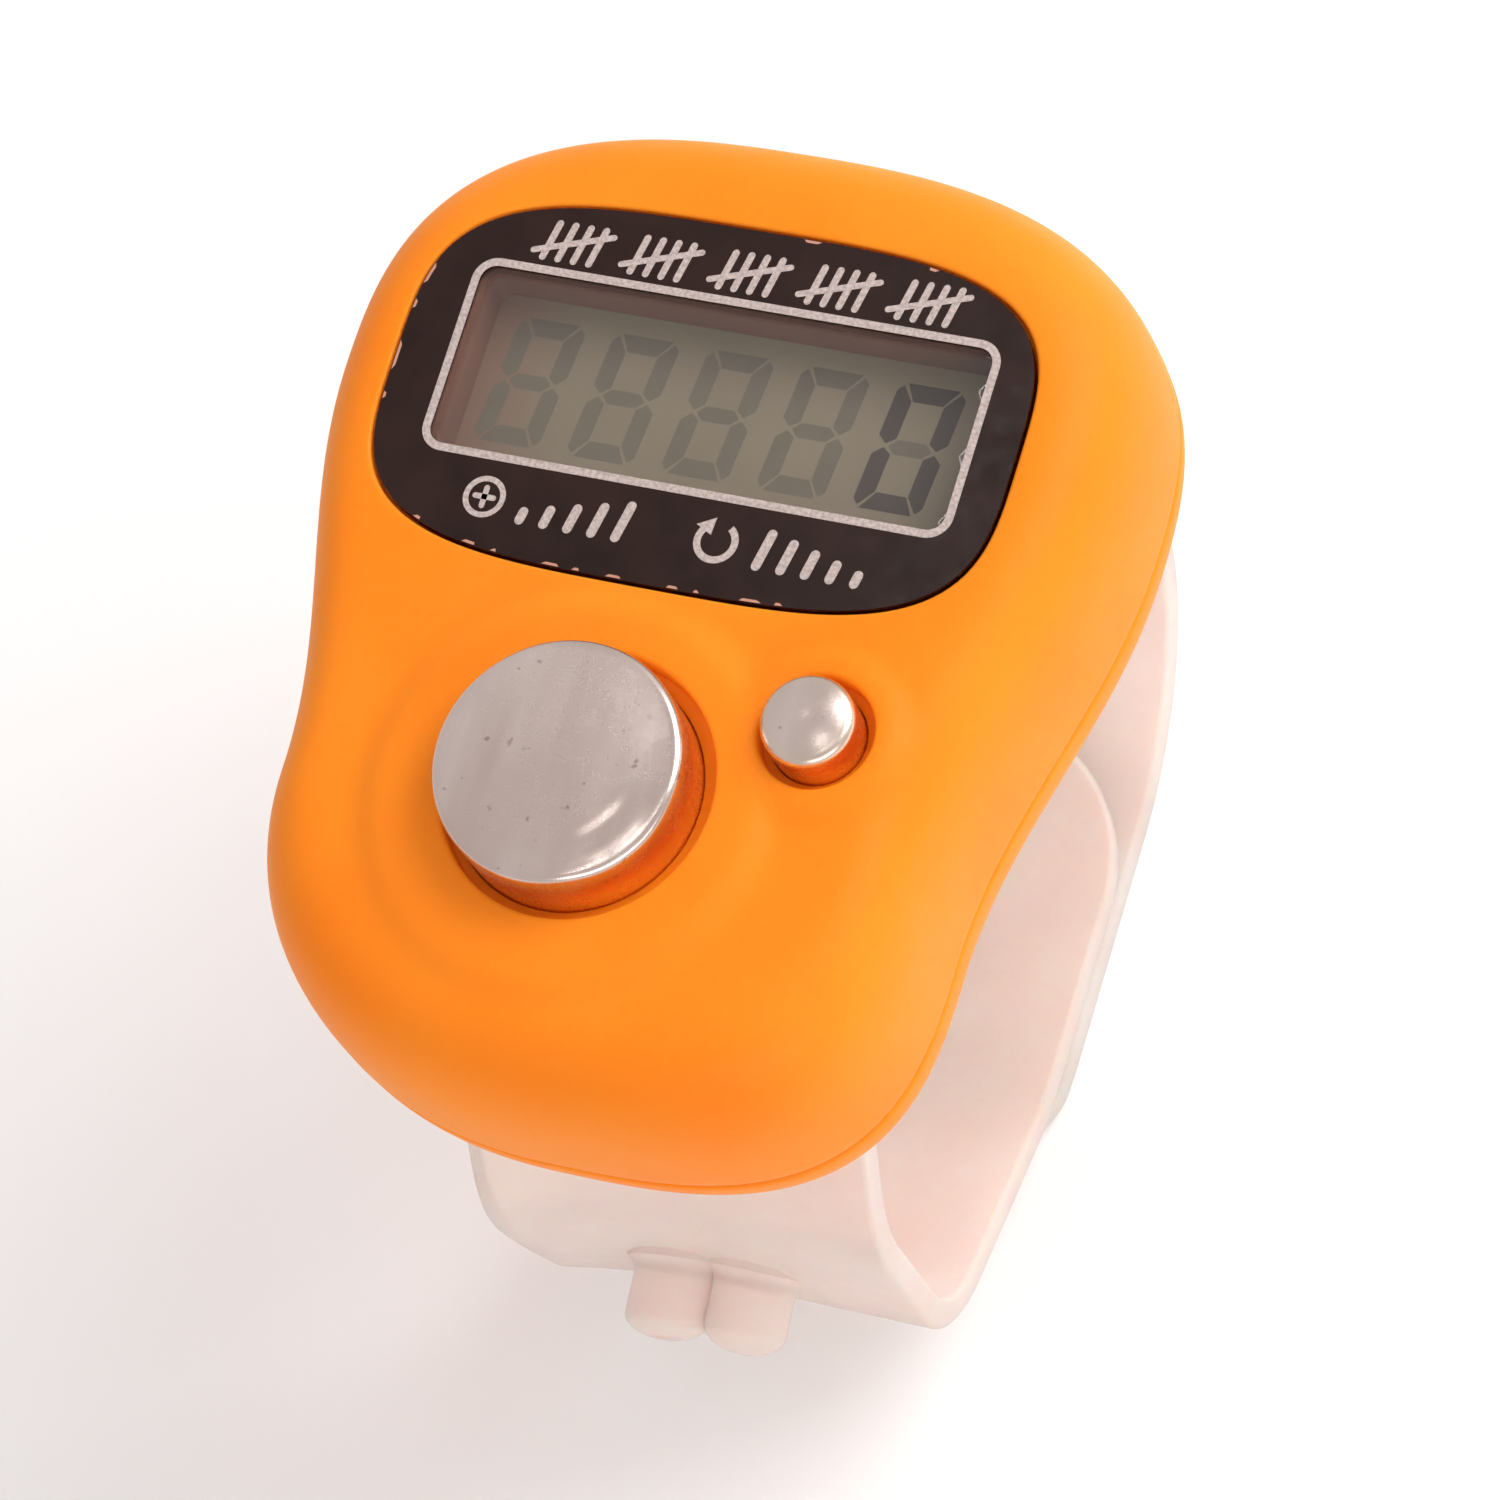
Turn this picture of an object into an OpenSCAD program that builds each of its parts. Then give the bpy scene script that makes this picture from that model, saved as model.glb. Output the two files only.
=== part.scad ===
// Electronic finger tally counter: a two-shell case with a liquid-crystal window and two
// plated push buttons, carried on a soft two-piece finger strap.
// Origin: centre of the outline, on the surface that the strap's back rests on. +Z leaves the face,
// +Y points to the window end, +X runs across the case and along the wearer's finger.

/* [Case] */
// Half width of the case at the window
case_half_w = 15.7; // [15:0.1:16.5]
// Half width of the case at the count button
waist_half_w = 12.8; // [12.4:0.1:13.4]
// Length of the case
case_l = 39; // [38.5:0.1:40]
// Thickness of the case, from its back to its face
case_t = 10.3; // [10.3:0.1:10.6]
// Wall thickness of the two shells
wall = 1.4; // [1.3:0.1:1.5]
// Height of the parting line above the back
seam_h = 2.4; // [2.2:0.1:2.6]
// Height of the case's back above the surface that the strap rests on
back_z = 30.7; // [30.5:0.1:31.5]

/* [Window] */
// Width of the clear window
window_w = 20.2; // [19.6:0.1:20.6]
// Height of the clear window
window_h = 7.2; // [7:0.1:7.6]
// Width of the printed label
label_w = 24.8; // [24.4:0.1:25]
// Height of the printed label
label_h = 14.2; // [13.8:0.1:14.4]
// Depth of the display glass below the face
glass_depth = 2.6; // [2.6:0.1:2.8]

/* [Buttons] */
// Radius of the count button
count_r = 4.65; // [4.4:0.05:4.7]
// Radius of the hole around the count button
count_hole_r = 5.08; // [5:0.02:5.2]
// Height of the count button above the face
count_proud = 2.5; // [1.8:0.1:2.6]
// Radius of the reset button
reset_r = 1.76; // [1.6:0.02:1.8]
// Radius of the hole around the reset button
reset_hole_r = 2.12; // [2.1:0.02:2.2]
// Height of the reset button above the face
reset_proud = 1.6; // [0.7:0.1:1.7]

/* [Strap] */
// Width of the strap
strap_w = 15.6; // [14:0.2:15.6]
// Thickness of the strap
strap_t = 1.3; // [1.1:0.1:1.3]
// Gap between the two halves where they overlap
strap_gap = 0.3; // [0.3:0.05:0.5]
// Reach of the inner half's round corner at the window end, from the middle of the case
strap_reach = 16.85; // [16.4:0.05:17]
// Reach of the inner half's side at the button end
lower_reach = 16.4; // [16:0.05:16.8]
// Radius of a locating peg
peg_r = 1.6; // [1.4:0.05:1.65]
// Length of a locating peg
peg_l = 3.05; // [2.4:0.05:3.1]

/* [Hidden] */

$fn = 64;
eps = 0.01;
face_z = back_z + case_t;
seam_z = back_z + seam_h;

// Case outline: a superellipse round each end, joined by a cosine flank
lobe_n = 2.7;
upper_y = 7.9;
lower_y = -9.1;
upper_l = case_l / 2 - upper_y;
lower_l = case_l / 2 + lower_y;
end_steps = 10;
flank_steps = 8;

// Scales of the outline for the faces of the two shells
face_scale = 0.79;
back_scale = 0.885;
seam_scale = 0.995;
inside_scale = 1 - wall / case_half_w;
edge_h = 4.5;

// Window, label and display stack
window_y = upper_y;
label_y = 7.45;
label_n = 3.4;
label_recess = 0.75;
lens_t = 0.62;
film_t = 0.1;
label_gap = 0.12;
window_corner = 0.6;
well_wall = 1.5;
glass_w = 21.9;
glass_t = 0.4;
glass_top = face_z - glass_depth;
glass_back_y = window_y + 4.4;
glass_front_y = window_y - 5.6;
ledge = 2;
reflector_t = 0.15;

// Circuit board
board_t = 0.8;
board_top = face_z - 4.9;
board_bottom = board_top - board_t;
board_scale = 0.83;

// Buttons
count_pos = [-0.4, -7.6];
reset_pos = [7.8, -4];
flange_t = 0.6;
flange_z = face_z - 3.5;
sleeve_z = flange_z + flange_t + 0.2;
sleeve_t = 1.1;
flange_over = 0.5;
dome_top = flange_z - 0.05;
pill_t = 0.18;
// Raised discs round the buttons: centre, radius and height
discs = [[[-0.8, -8.2], 8, 0.34], [[7.9, -4.1], 3.7, 0.24]];

// Battery, its cup and its door
cell_r = 5.8;
cell_h = 3.1;
cell_x = -2.2;
cup_r = 6.05;
cup_wall = 0.85;
door_w = 19;
door_l = 13.6;
door_t = 1;
door_corner = 2;
door_gap = 0.15;
ledge_t = 0.9;
door_screw_x = 7;
cell_z = back_z + door_t + 0.05;

// Screws: head radius, head height, shank radius
head_r = 1.4;
head_h = 0.8;
shank_r = 0.7;
case_screw_l = 6;
door_screw_l = 2.6;
boss_r = 1.7;
screw_pos = [[0, 15.6], [-8.2, -13.6], [8.2, -13.6]];

// Strap hinges under the back
pivot_y = 9.5;
pivot_z = back_z - 1.5;
barrel_r = 1.2;
stub_r = 0.8;
stub_bore_r = 0.85;
ear_r = 1.85;
ear_t = 1.6;
ear_gap = 0.25;

// Strap path at the window end: shoulder arc, straight side, corner arc and flat back
shoulder_r = 13;
corner_z = 10.7;
shoulder_z = 13;
corner_y = 7.75;
// Strap path at the button end: shoulder arc, straight side, tight corner and a slope to the flat back
lower_shoulder_r = 10.5;
lower_shoulder_z = 15;
lower_corner_r = 5;
lower_corner_z = 9.2;
lower_slope = 20;
lower_tip_angle = 24;
upper_tip_y = -7;
peg_x = 1.72;
peg_z = 11.2;
peg_tilt = 10;

// ---- Shared outlines and shapes ----

function lobe(half_w, len, n, t) = [half_w * pow(cos(t), 2 / n), len * pow(sin(t), 2 / n)];
function flank(y) =
    (case_half_w + waist_half_w) / 2
    + (case_half_w - waist_half_w) / 2 * cos(180 * (upper_y - y) / (upper_y - lower_y));
function case_side() = concat(
    [for (i = [0:end_steps - 1])
        let (p = lobe(waist_half_w, lower_l, lobe_n, 90 - 90 * i / end_steps)) [p.x, lower_y - p.y]],
    [for (i = [0:flank_steps - 1])
        let (y = lower_y + (upper_y - lower_y) * i / flank_steps) [flank(y), y]],
    [for (i = [0:end_steps])
        let (p = lobe(case_half_w, upper_l, lobe_n, 90 * i / end_steps)) [p.x, upper_y + p.y]]
);
function closed(side) = concat(side, [for (i = [len(side) - 2:-1:1]) [-side[i].x, side[i].y]]);
case_outline = closed(case_side());

// A solid through copies of the case outline, one for each [height, scale]
module case_skin(levels) {
    n = len(case_outline);
    last = len(levels) - 1;
    points = [for (level = levels, p = case_outline) [p.x * level[1], p.y * level[1], level[0]]];
    sides = [for (k = [0:last - 1], i = [0:n - 1])
        let (j = (i + 1) % n) [k * n + i, (k + 1) * n + i, (k + 1) * n + j, k * n + j]];
    bottom = [for (i = [0:n - 1]) i];
    top = [for (i = [n - 1:-1:0]) last * n + i];
    polyhedron(points = points, faces = concat(sides, [bottom, top]), convexity = 6);
}

module label_outline(grow) {
    steps = 12;
    w = label_w / 2 + grow;
    l = label_h / 2 + grow;
    side = concat(
        [for (i = [0:steps - 1]) let (p = lobe(w, l, label_n, 90 - 90 * i / steps)) [p.x, -p.y]],
        [for (i = [0:steps]) lobe(w, l, label_n, 90 * i / steps)]
    );
    translate([0, label_y]) polygon(closed(side));
}

module rounded_rect(w, l, r) {
    union() {
        square([w - 2 * r, l], center = true);
        square([w, l - 2 * r], center = true);
        for (x = [-1, 1], y = [-1, 1])
            translate([x * (w / 2 - r), y * (l / 2 - r)]) circle(r);
    }
}

module window_hole(grow) {
    translate([0, window_y]) rounded_rect(window_w + 2 * grow, window_h + 2 * grow, window_corner + grow);
}

// A box from its low corner to its high corner
module slab(low, high) {
    translate(low) cube(high - low);
}

module tube(outer_r, inner_r, low, high) {
    translate([0, 0, low]) difference() {
        cylinder(r = outer_r, h = high - low);
        translate([0, 0, -eps]) cylinder(r = inner_r, h = high - low + 2 * eps);
    }
}

// A cross-head self-tapping screw that points up, with its head's face at z = 0
module screw(shank_l) {
    slot = 0.3;
    difference() {
        cylinder(r = head_r, h = head_h);
        for (turn = [0, 90])
            rotate(turn) translate([-0.9, -slot / 2, -eps]) cube([1.8, slot, 0.4]);
    }
    translate([0, 0, head_h - eps]) cylinder(r = shank_r, h = shank_l - 0.6 + eps);
    translate([0, 0, head_h + shank_l - 0.6 - eps]) cylinder(r1 = shank_r, r2 = 0.2, h = 0.6);
}

// ---- Case ----

module front_shell() {
    arc_steps = 6;
    rise = face_z - edge_h;
    outside = concat(
        [[seam_z, seam_scale], [seam_z + 1.4, 1], [rise, 1]],
        [for (i = [1:arc_steps]) let (a = 90 * i / arc_steps)
            [rise + edge_h * sin(a), 1 - (1 - face_scale) * (1 - cos(a))]]
    );
    ceiling = face_z - 1.5;
    inside = [
        [seam_z - 1, inside_scale], [rise - 0.2, inside_scale], [rise + 1.9, inside_scale - 0.035],
        [ceiling - 0.5, face_scale + 0.01], [ceiling, face_scale - 0.04]
    ];
    color("orange") difference() {
        union() {
            difference() {
                case_skin(outside);
                case_skin(inside);
            }
            // Walls of the well between the window and the display
            translate([0, 0, glass_top]) linear_extrude(ceiling - glass_top + eps) difference() {
                window_hole(well_wall);
                window_hole(0);
            }
            translate(count_pos) tube(count_hole_r + sleeve_t, count_hole_r, sleeve_z, ceiling + eps);
            translate(reset_pos) tube(reset_hole_r + sleeve_t * 0.8, reset_hole_r, sleeve_z, ceiling + eps);
            for (p = screw_pos)
                translate([p.x, p.y, seam_z + 0.2]) cylinder(r = boss_r, h = ceiling - seam_z - 0.2 + eps);
            for (disc = discs)
                translate([disc[0].x, disc[0].y, face_z - 0.3])
                    cylinder(r1 = disc[1] + 0.4, r2 = disc[1] - 1.2, h = disc[2] + 0.3);
        }
        translate([0, 0, face_z - label_recess]) linear_extrude(2) label_outline(label_gap);
        translate([0, 0, glass_top - eps]) linear_extrude(4) window_hole(0);
        translate([count_pos.x, count_pos.y, sleeve_z - eps]) cylinder(r = count_hole_r, h = 6);
        translate([reset_pos.x, reset_pos.y, sleeve_z - eps]) cylinder(r = reset_hole_r, h = 6);
        for (p = screw_pos)
            translate([p.x, p.y, seam_z]) cylinder(r = shank_r + 0.02, h = 5);
    }
}

module back_shell() {
    arc_steps = 4;
    edge_r = 1.9;
    outside = concat(
        [for (i = [0:arc_steps]) let (a = 90 * i / arc_steps)
            [back_z + edge_r * (1 - cos(a)), seam_scale - (seam_scale - back_scale) * (1 - sin(a))]],
        [[seam_z, seam_scale]]
    );
    floor_z = back_z + 1.2;
    lip_top = seam_z + 1.2;
    lip_scale = inside_scale - 0.008;
    tray_scale = 0.86;
    pad_top = back_z + door_t + door_gap + ledge_t;
    color("darkorange") difference() {
        union() {
            difference() {
                union() {
                    case_skin(outside);
                    case_skin([[seam_z - 0.5, lip_scale], [lip_top, lip_scale]]);
                }
                case_skin([[floor_z, tray_scale], [lip_top + 1, tray_scale]]);
            }
            slab(
                [-door_w / 2 - 1, -door_l / 2 - 1, floor_z - eps],
                [door_w / 2 + 1, door_l / 2 + 1, pad_top]
            );
            translate([cell_x, 0, 0]) tube(cup_r + cup_wall, cup_r, floor_z, board_bottom);
            translate([door_screw_x, 0, floor_z]) cylinder(r = boss_r, h = board_bottom - floor_z - 0.2);
            for (p = screw_pos)
                translate([p.x, p.y, floor_z - eps]) cylinder(r = boss_r, h = seam_z - floor_z);
            strap_ears();
        }
        // Recess of the battery door, the cell's opening and the door screw's pilot hole
        translate([0, 0, back_z - eps]) linear_extrude(door_t + door_gap)
            rounded_rect(door_w + 2 * door_gap, door_l + 2 * door_gap, door_corner);
        translate([cell_x, 0, back_z]) cylinder(r = cup_r, h = 6);
        translate([door_screw_x, 0, back_z]) cylinder(r = shank_r + 0.02, h = 4);
        for (p = screw_pos) translate([p.x, p.y, back_z - eps]) {
            cylinder(r = head_r + 0.15, h = head_h + 0.2);
            cylinder(r = shank_r + 0.15, h = 4);
        }
        // Notches in the lip for the front shell's screw bosses
        for (p = screw_pos) translate([p.x, p.y, seam_z]) cylinder(r = boss_r + 0.15, h = 2);
    }
}

// Two pairs of ears that carry the strap's stub axles
module strap_ears() {
    inner_x = strap_w / 2 + ear_gap;
    for (side = [-1, 1], end = [-1, 1])
        translate([side * (inner_x + ear_t / 2), end * pivot_y, pivot_z]) difference() {
            union() {
                rotate([0, 90, 0]) cylinder(r = ear_r, h = ear_t, center = true);
                translate([-ear_t / 2, -ear_r, 0]) cube([ear_t, 2 * ear_r, back_z - pivot_z + 0.4]);
            }
            rotate([0, 90, 0]) cylinder(r = stub_bore_r, h = ear_t + 1, center = true);
        }
}

module case_screws() {
    color("silver") for (p = screw_pos)
        translate([p.x, p.y, back_z + 0.15]) screw(case_screw_l);
}

// ---- Window and display ----

module window_lens() {
    color("lightgray", 0.4) translate([0, 0, face_z - label_recess + 0.02])
        linear_extrude(lens_t) label_outline(0);
}

module face_label() {
    color([0.12, 0.1, 0.1]) translate([0, 0, face_z - label_recess + 0.02 + lens_t])
        linear_extrude(film_t) difference() {
            label_outline(0);
            window_hole(0);
        }
}

module lcd_front_glass() {
    color([0.6, 0.6, 0.52]) slab(
        [-glass_w / 2, glass_front_y, glass_top - glass_t], [glass_w / 2, glass_back_y, glass_top]);
}

module lcd_rear_glass() {
    color([0.55, 0.55, 0.48]) slab(
        [-glass_w / 2, glass_front_y + ledge, glass_top - 2 * glass_t],
        [glass_w / 2, glass_back_y, glass_top - glass_t]);
}

module lcd_reflector() {
    color([0.75, 0.75, 0.7]) slab(
        [-glass_w / 2, glass_front_y + ledge, glass_top - 2 * glass_t - reflector_t],
        [glass_w / 2, glass_back_y, glass_top - 2 * glass_t]);
}

// An open frame that carries the display above the board, with a rail at each side
module lcd_holder() {
    top = glass_top - 2 * glass_t - reflector_t;
    rail = 0.5;
    margin = 1.4;
    half_w = glass_w / 2;
    front_y = glass_front_y + ledge;
    color("white") {
        difference() {
            slab([-half_w, front_y, board_top], [half_w, glass_back_y, top]);
            slab(
                [-half_w + margin, front_y + margin, board_top - 1],
                [half_w - margin, glass_back_y - margin, top + 1]
            );
        }
        slab([-half_w, glass_back_y, board_top], [half_w, glass_back_y + rail, glass_top - glass_t]);
    }
}

module zebra_strip() {
    half_w = glass_w / 2 - 0.7;
    color("dimgray") slab(
        [-half_w, glass_front_y + 0.2, board_top],
        [half_w, glass_front_y + ledge - 0.4, glass_top - glass_t]
    );
}

// ---- Board ----

module circuit_board() {
    color("darkgreen") translate([0, 0, board_bottom]) linear_extrude(board_t) difference() {
        scale(board_scale) polygon(case_outline);
        for (p = screw_pos) translate(p) circle(boss_r + 0.25);
    }
}

module chip_blob() {
    blob_r = 2.6;
    color([0.1, 0.1, 0.1]) translate([8.2, 8.5, board_bottom]) mirror([0, 0, 1]) intersection() {
        translate([0, 0, -2.4]) sphere(r = 3.54);
        cylinder(r = blob_r, h = 2);
    }
}

module chip_capacitors() {
    color("tan") for (x = [-3, 0, 3])
        slab([x - 0.5, -12.4, board_bottom - 0.5], [x + 0.5, -11.6, board_bottom]);
}

// ---- Buttons ----

// A push button: a flange under the case's face, a shaft and a crown with a rounded rim
module push_button(shaft_r, height, rim_r, flange_r) {
    rotate_extrude($fn = 96) difference() {
        union() {
            square([flange_r, flange_t]);
            square([shaft_r, height - rim_r]);
            square([shaft_r - rim_r, height]);
            translate([shaft_r - rim_r, height - rim_r]) circle(rim_r, $fn = 48);
        }
        translate([-10, -1]) square([10, height + 2]);
    }
}

module count_button() {
    color("silver") translate([count_pos.x, count_pos.y, flange_z])
        push_button(count_r, face_z + count_proud - flange_z, 0.45, count_hole_r + flange_over);
}

// The reset button has a low domed crown
module reset_button() {
    dome_r = 3.4;
    height = face_z + reset_proud - flange_z;
    color("silver") translate([reset_pos.x, reset_pos.y, flange_z]) union() {
        cylinder(r = reset_hole_r + 0.4, h = flange_t);
        intersection() {
            cylinder(r = reset_r, h = height);
            translate([0, 0, height - dome_r]) sphere(r = dome_r, $fn = 96);
        }
        cylinder(r = reset_r, h = height - 1.2);
    }
}

// A rubber dome is a hollow cone with a flat crown, which stands on the board
module rubber_dome(foot_r, crown_r) {
    height = dome_top - board_top;
    skin = 0.35;
    rotate_extrude() polygon([
        [foot_r, 0], [crown_r, height], [0, height], [0, height - skin],
        [crown_r - skin, height - skin], [foot_r - skin * 1.6, 0]
    ]);
}

module count_dome() {
    color("lightgray") translate([count_pos.x, count_pos.y, board_top]) rubber_dome(3.4, 2.2);
}

module reset_dome() {
    color("lightgray") translate([reset_pos.x, reset_pos.y, board_top]) rubber_dome(2, 1.25);
}

// A carbon pill under each dome's crown bridges the board's contacts
module pill(r) {
    translate([0, 0, dome_top - 0.35 - pill_t]) cylinder(r = r, h = pill_t);
}

module count_pill() {
    color([0.15, 0.15, 0.15]) translate(count_pos) pill(1.3);
}

module reset_pill() {
    color([0.15, 0.15, 0.15]) translate(reset_pos) pill(0.7);
}

// ---- Battery ----

module battery_cell() {
    crimp = 0.35;
    color("gainsboro") translate([cell_x, 0, cell_z]) rotate_extrude($fn = 96) polygon([
        [0, 0], [cell_r - 0.2, 0], [cell_r, 0.2], [cell_r, cell_h - crimp - 0.25],
        [cell_r - 0.5, cell_h - crimp], [cell_r - 0.8, cell_h - crimp], [cell_r - 0.9, cell_h], [0, cell_h]
    ]);
}

// A sprung cone under the board that presses on the cell's negative cap
module negative_contact() {
    top = board_bottom;
    low = cell_z + cell_h + 0.02;
    color("goldenrod") translate([cell_x, 0, 0]) rotate_extrude()
        polygon([[1, low], [1.5, low], [3.5, top - 0.15], [4, top - 0.15], [4, top], [3.4, top]]);
}

// A strip round the cell's side that touches its positive can
module positive_contact() {
    color("goldenrod") translate([cell_x, 0, 0]) rotate([0, 0, 150])
        translate([0, 0, cell_z + 0.2]) rotate_extrude(angle = 60)
            translate([cell_r + 0.03, 0]) square([0.18, board_bottom - cell_z - 0.22]);
}

module battery_door() {
    grip_l = 6;
    color("darkorange") difference() {
        translate([0, 0, back_z]) linear_extrude(door_t) rounded_rect(door_w, door_l, door_corner);
        translate([door_screw_x, 0, back_z - eps]) {
            cylinder(r = head_r + 0.1, h = 0.55);
            cylinder(r = shank_r + 0.1, h = 3);
        }
        for (i = [0:3])
            slab([-8.3 + i * 1.1, -grip_l / 2, back_z - eps], [-7.8 + i * 1.1, grip_l / 2, back_z + 0.25]);
    }
}

module door_screw() {
    color("silver") translate([door_screw_x, 0, back_z - head_h + 0.5]) screw(door_screw_l);
}

// ---- Strap ----

// The stretch of a ring of radius r_out between two angles, in the strap's side view
module arc_band(centre, r_out, from_a, to_a) {
    reach = r_out * 2;
    mid_a = (from_a + to_a) / 2;
    translate(centre) intersection() {
        difference() {
            circle(r_out, $fn = 128);
            circle(r_out - strap_t, $fn = 128);
        }
        polygon([
            [0, 0], [cos(from_a), sin(from_a)] * reach, [cos(mid_a), sin(mid_a)] * reach,
            [cos(to_a), sin(to_a)] * reach
        ]);
    }
}

// The stretch of strap between a pivot on the +Y side and the shoulder arc, in side view
module strap_shoulder(centre, r) {
    to_pivot = [pivot_y, pivot_z] - centre;
    half_t = strap_t / 2;
    leave_a = atan2(to_pivot.y, to_pivot.x) - acos((r - half_t) / norm(to_pivot));
    leave = [cos(leave_a), sin(leave_a)];
    arc_band(centre, r, -eps, leave_a);
    polygon([
        centre + leave * (r - strap_t), centre + leave * r,
        [pivot_y, pivot_z] + leave * half_t, [pivot_y, pivot_z] - leave * half_t
    ]);
}

// The outer half in side view: it lies round the full corner of the inner one
module outer_side_view() {
    grow = strap_t + strap_gap;
    strap_shoulder([strap_reach - shoulder_r, shoulder_z], shoulder_r + grow);
    translate([strap_reach + grow - strap_t, corner_z]) square([strap_t, shoulder_z - corner_z]);
    arc_band([corner_y, corner_z], strap_reach - corner_y + grow, 270, 360);
    bottom = corner_z - (strap_reach - corner_y) - grow;
    translate([upper_tip_y, bottom]) square([corner_y - upper_tip_y + eps, strap_t]);
}

// The inner half in side view, drawn with its root on the +Y side: a tight corner, then a slope to the back
module inner_side_view() {
    strap_shoulder([lower_reach - lower_shoulder_r, lower_shoulder_z], lower_shoulder_r);
    translate([lower_reach - strap_t, lower_corner_z]) square([strap_t, lower_shoulder_z - lower_corner_z]);
    centre = [lower_reach - lower_corner_r, lower_corner_z];
    arc_band(centre, lower_corner_r, 270 + lower_slope, 360);
    down = [sin(lower_slope), -cos(lower_slope)];
    out = centre + down * lower_corner_r;
    in = centre + down * (lower_corner_r - strap_t);
    back = corner_z - (strap_reach - corner_y);
    bend_y = out.x - (out.y - back) / tan(lower_slope);
    inner_bend_y = in.x - (in.y - back - strap_t) / tan(lower_slope);
    top = back + strap_t;
    polygon([in, out, [bend_y, back], [-corner_y, back], [-corner_y, top], [inner_bend_y, top]]);
}

// Extrudes a side view across the strap's width
module across(w) {
    rotate([90, 0, 90]) translate([0, 0, -w / 2]) linear_extrude(w) children();
}

// The barrel at a strap's root, with a stub axle at each end
module strap_barrel() {
    translate([0, pivot_y, pivot_z]) rotate([0, 90, 0]) {
        cylinder(r = barrel_r, h = strap_w, center = true);
        cylinder(r = stub_r, h = strap_w + 2 * (ear_gap + ear_t) - 0.3, center = true);
    }
}

// What is cut off to round a strap's tip: its corners have radius r, and it ends at tip_y towards -Y
module tip_cutter(tip_y, r) {
    half_w = strap_w / 2;
    for (side = [0, 1]) mirror([side, 0, 0]) translate([half_w - r, tip_y + r, -1]) linear_extrude(8)
        difference() {
            translate([0, -r - 1]) square(r + 1);
            circle(r);
        }
}

// The outer half: hinged at the window end, with three pairs of holes for the pegs
module upper_strap() {
    color("mistyrose", 0.6) difference() {
        union() {
            across(strap_w) outer_side_view();
            strap_barrel();
        }
        tip_cutter(upper_tip_y, 3.5);
        for (y = [-3.6, 1, 5.6], side = [-1, 1])
            translate([side * peg_x, y, -1]) cylinder(r = peg_r + 0.05, h = strap_t + 2);
    }
}

// The inner half: hinged at the button end, with two pegs on its outer side and a round tip
module lower_strap() {
    inner_tip_r = strap_w / 2 - 0.6;
    tip_y = corner_y + (strap_reach - corner_y) * sin(lower_tip_angle);
    color("mistyrose", 0.6) difference() {
        union() {
            mirror([0, 1, 0]) across(strap_w) inner_side_view();
            across(strap_w)
                arc_band([corner_y, corner_z], strap_reach - corner_y, 270, 270 + lower_tip_angle);
            mirror([0, 1, 0]) strap_barrel();
            for (side = [-1, 1])
                translate([side * peg_x, -lower_reach + 0.2, peg_z]) rotate([90 + peg_tilt, 0, 0]) {
                    cylinder(r = peg_r, h = peg_l - 0.7);
                    translate([0, 0, peg_l - 0.7]) scale([1, 1, 0.4]) sphere(r = peg_r);
                }
        }
        mirror([0, 1, 0]) tip_cutter(-tip_y, inner_tip_r);
    }
}

front_shell();
back_shell();
window_lens();
face_label();
lcd_front_glass();
lcd_rear_glass();
lcd_reflector();
lcd_holder();
zebra_strip();
circuit_board();
chip_blob();
chip_capacitors();
count_button();
reset_button();
count_dome();
reset_dome();
count_pill();
reset_pill();
battery_cell();
negative_contact();
positive_contact();
battery_door();
door_screw();
case_screws();
upper_strap();
lower_strap();
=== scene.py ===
"""Finger tally counter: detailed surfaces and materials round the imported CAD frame.

Lengths in this script are millimetres in the row frame, and meshes are built in metres.
"""

from math import acos, atan2, cos, degrees, dist, hypot, pi, radians, sin, sqrt, tan

import bmesh
import bpy
import numpy as np
from mathutils import Matrix, Vector
from mathutils.geometry import delaunay_2d_cdt


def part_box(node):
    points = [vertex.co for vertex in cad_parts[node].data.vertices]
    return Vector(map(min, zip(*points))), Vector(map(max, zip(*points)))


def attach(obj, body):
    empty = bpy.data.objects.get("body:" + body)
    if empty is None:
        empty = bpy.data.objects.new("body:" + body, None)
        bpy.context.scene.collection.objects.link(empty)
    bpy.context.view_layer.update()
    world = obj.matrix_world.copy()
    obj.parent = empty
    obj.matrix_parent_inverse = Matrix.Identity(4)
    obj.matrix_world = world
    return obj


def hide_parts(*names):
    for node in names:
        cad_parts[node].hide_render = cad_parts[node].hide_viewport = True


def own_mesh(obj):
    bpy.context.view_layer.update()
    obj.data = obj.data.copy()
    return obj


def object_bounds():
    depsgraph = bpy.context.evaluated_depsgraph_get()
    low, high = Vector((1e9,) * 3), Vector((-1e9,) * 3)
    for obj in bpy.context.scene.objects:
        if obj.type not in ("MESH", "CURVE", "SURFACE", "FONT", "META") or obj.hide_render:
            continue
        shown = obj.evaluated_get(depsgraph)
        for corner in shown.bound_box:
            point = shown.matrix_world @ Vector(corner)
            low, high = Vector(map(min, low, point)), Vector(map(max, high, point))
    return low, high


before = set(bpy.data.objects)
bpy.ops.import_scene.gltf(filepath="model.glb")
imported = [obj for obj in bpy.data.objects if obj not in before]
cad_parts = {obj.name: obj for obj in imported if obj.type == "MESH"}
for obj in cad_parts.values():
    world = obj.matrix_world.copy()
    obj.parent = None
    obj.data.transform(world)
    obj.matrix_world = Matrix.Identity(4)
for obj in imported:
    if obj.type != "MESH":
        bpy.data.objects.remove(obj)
cad_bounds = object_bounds()

MM = 0.001


def box_mm(node):
    """Low and high corner of a CAD node, in millimetres."""
    low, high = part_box(node)
    return low / MM, high / MM


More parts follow.
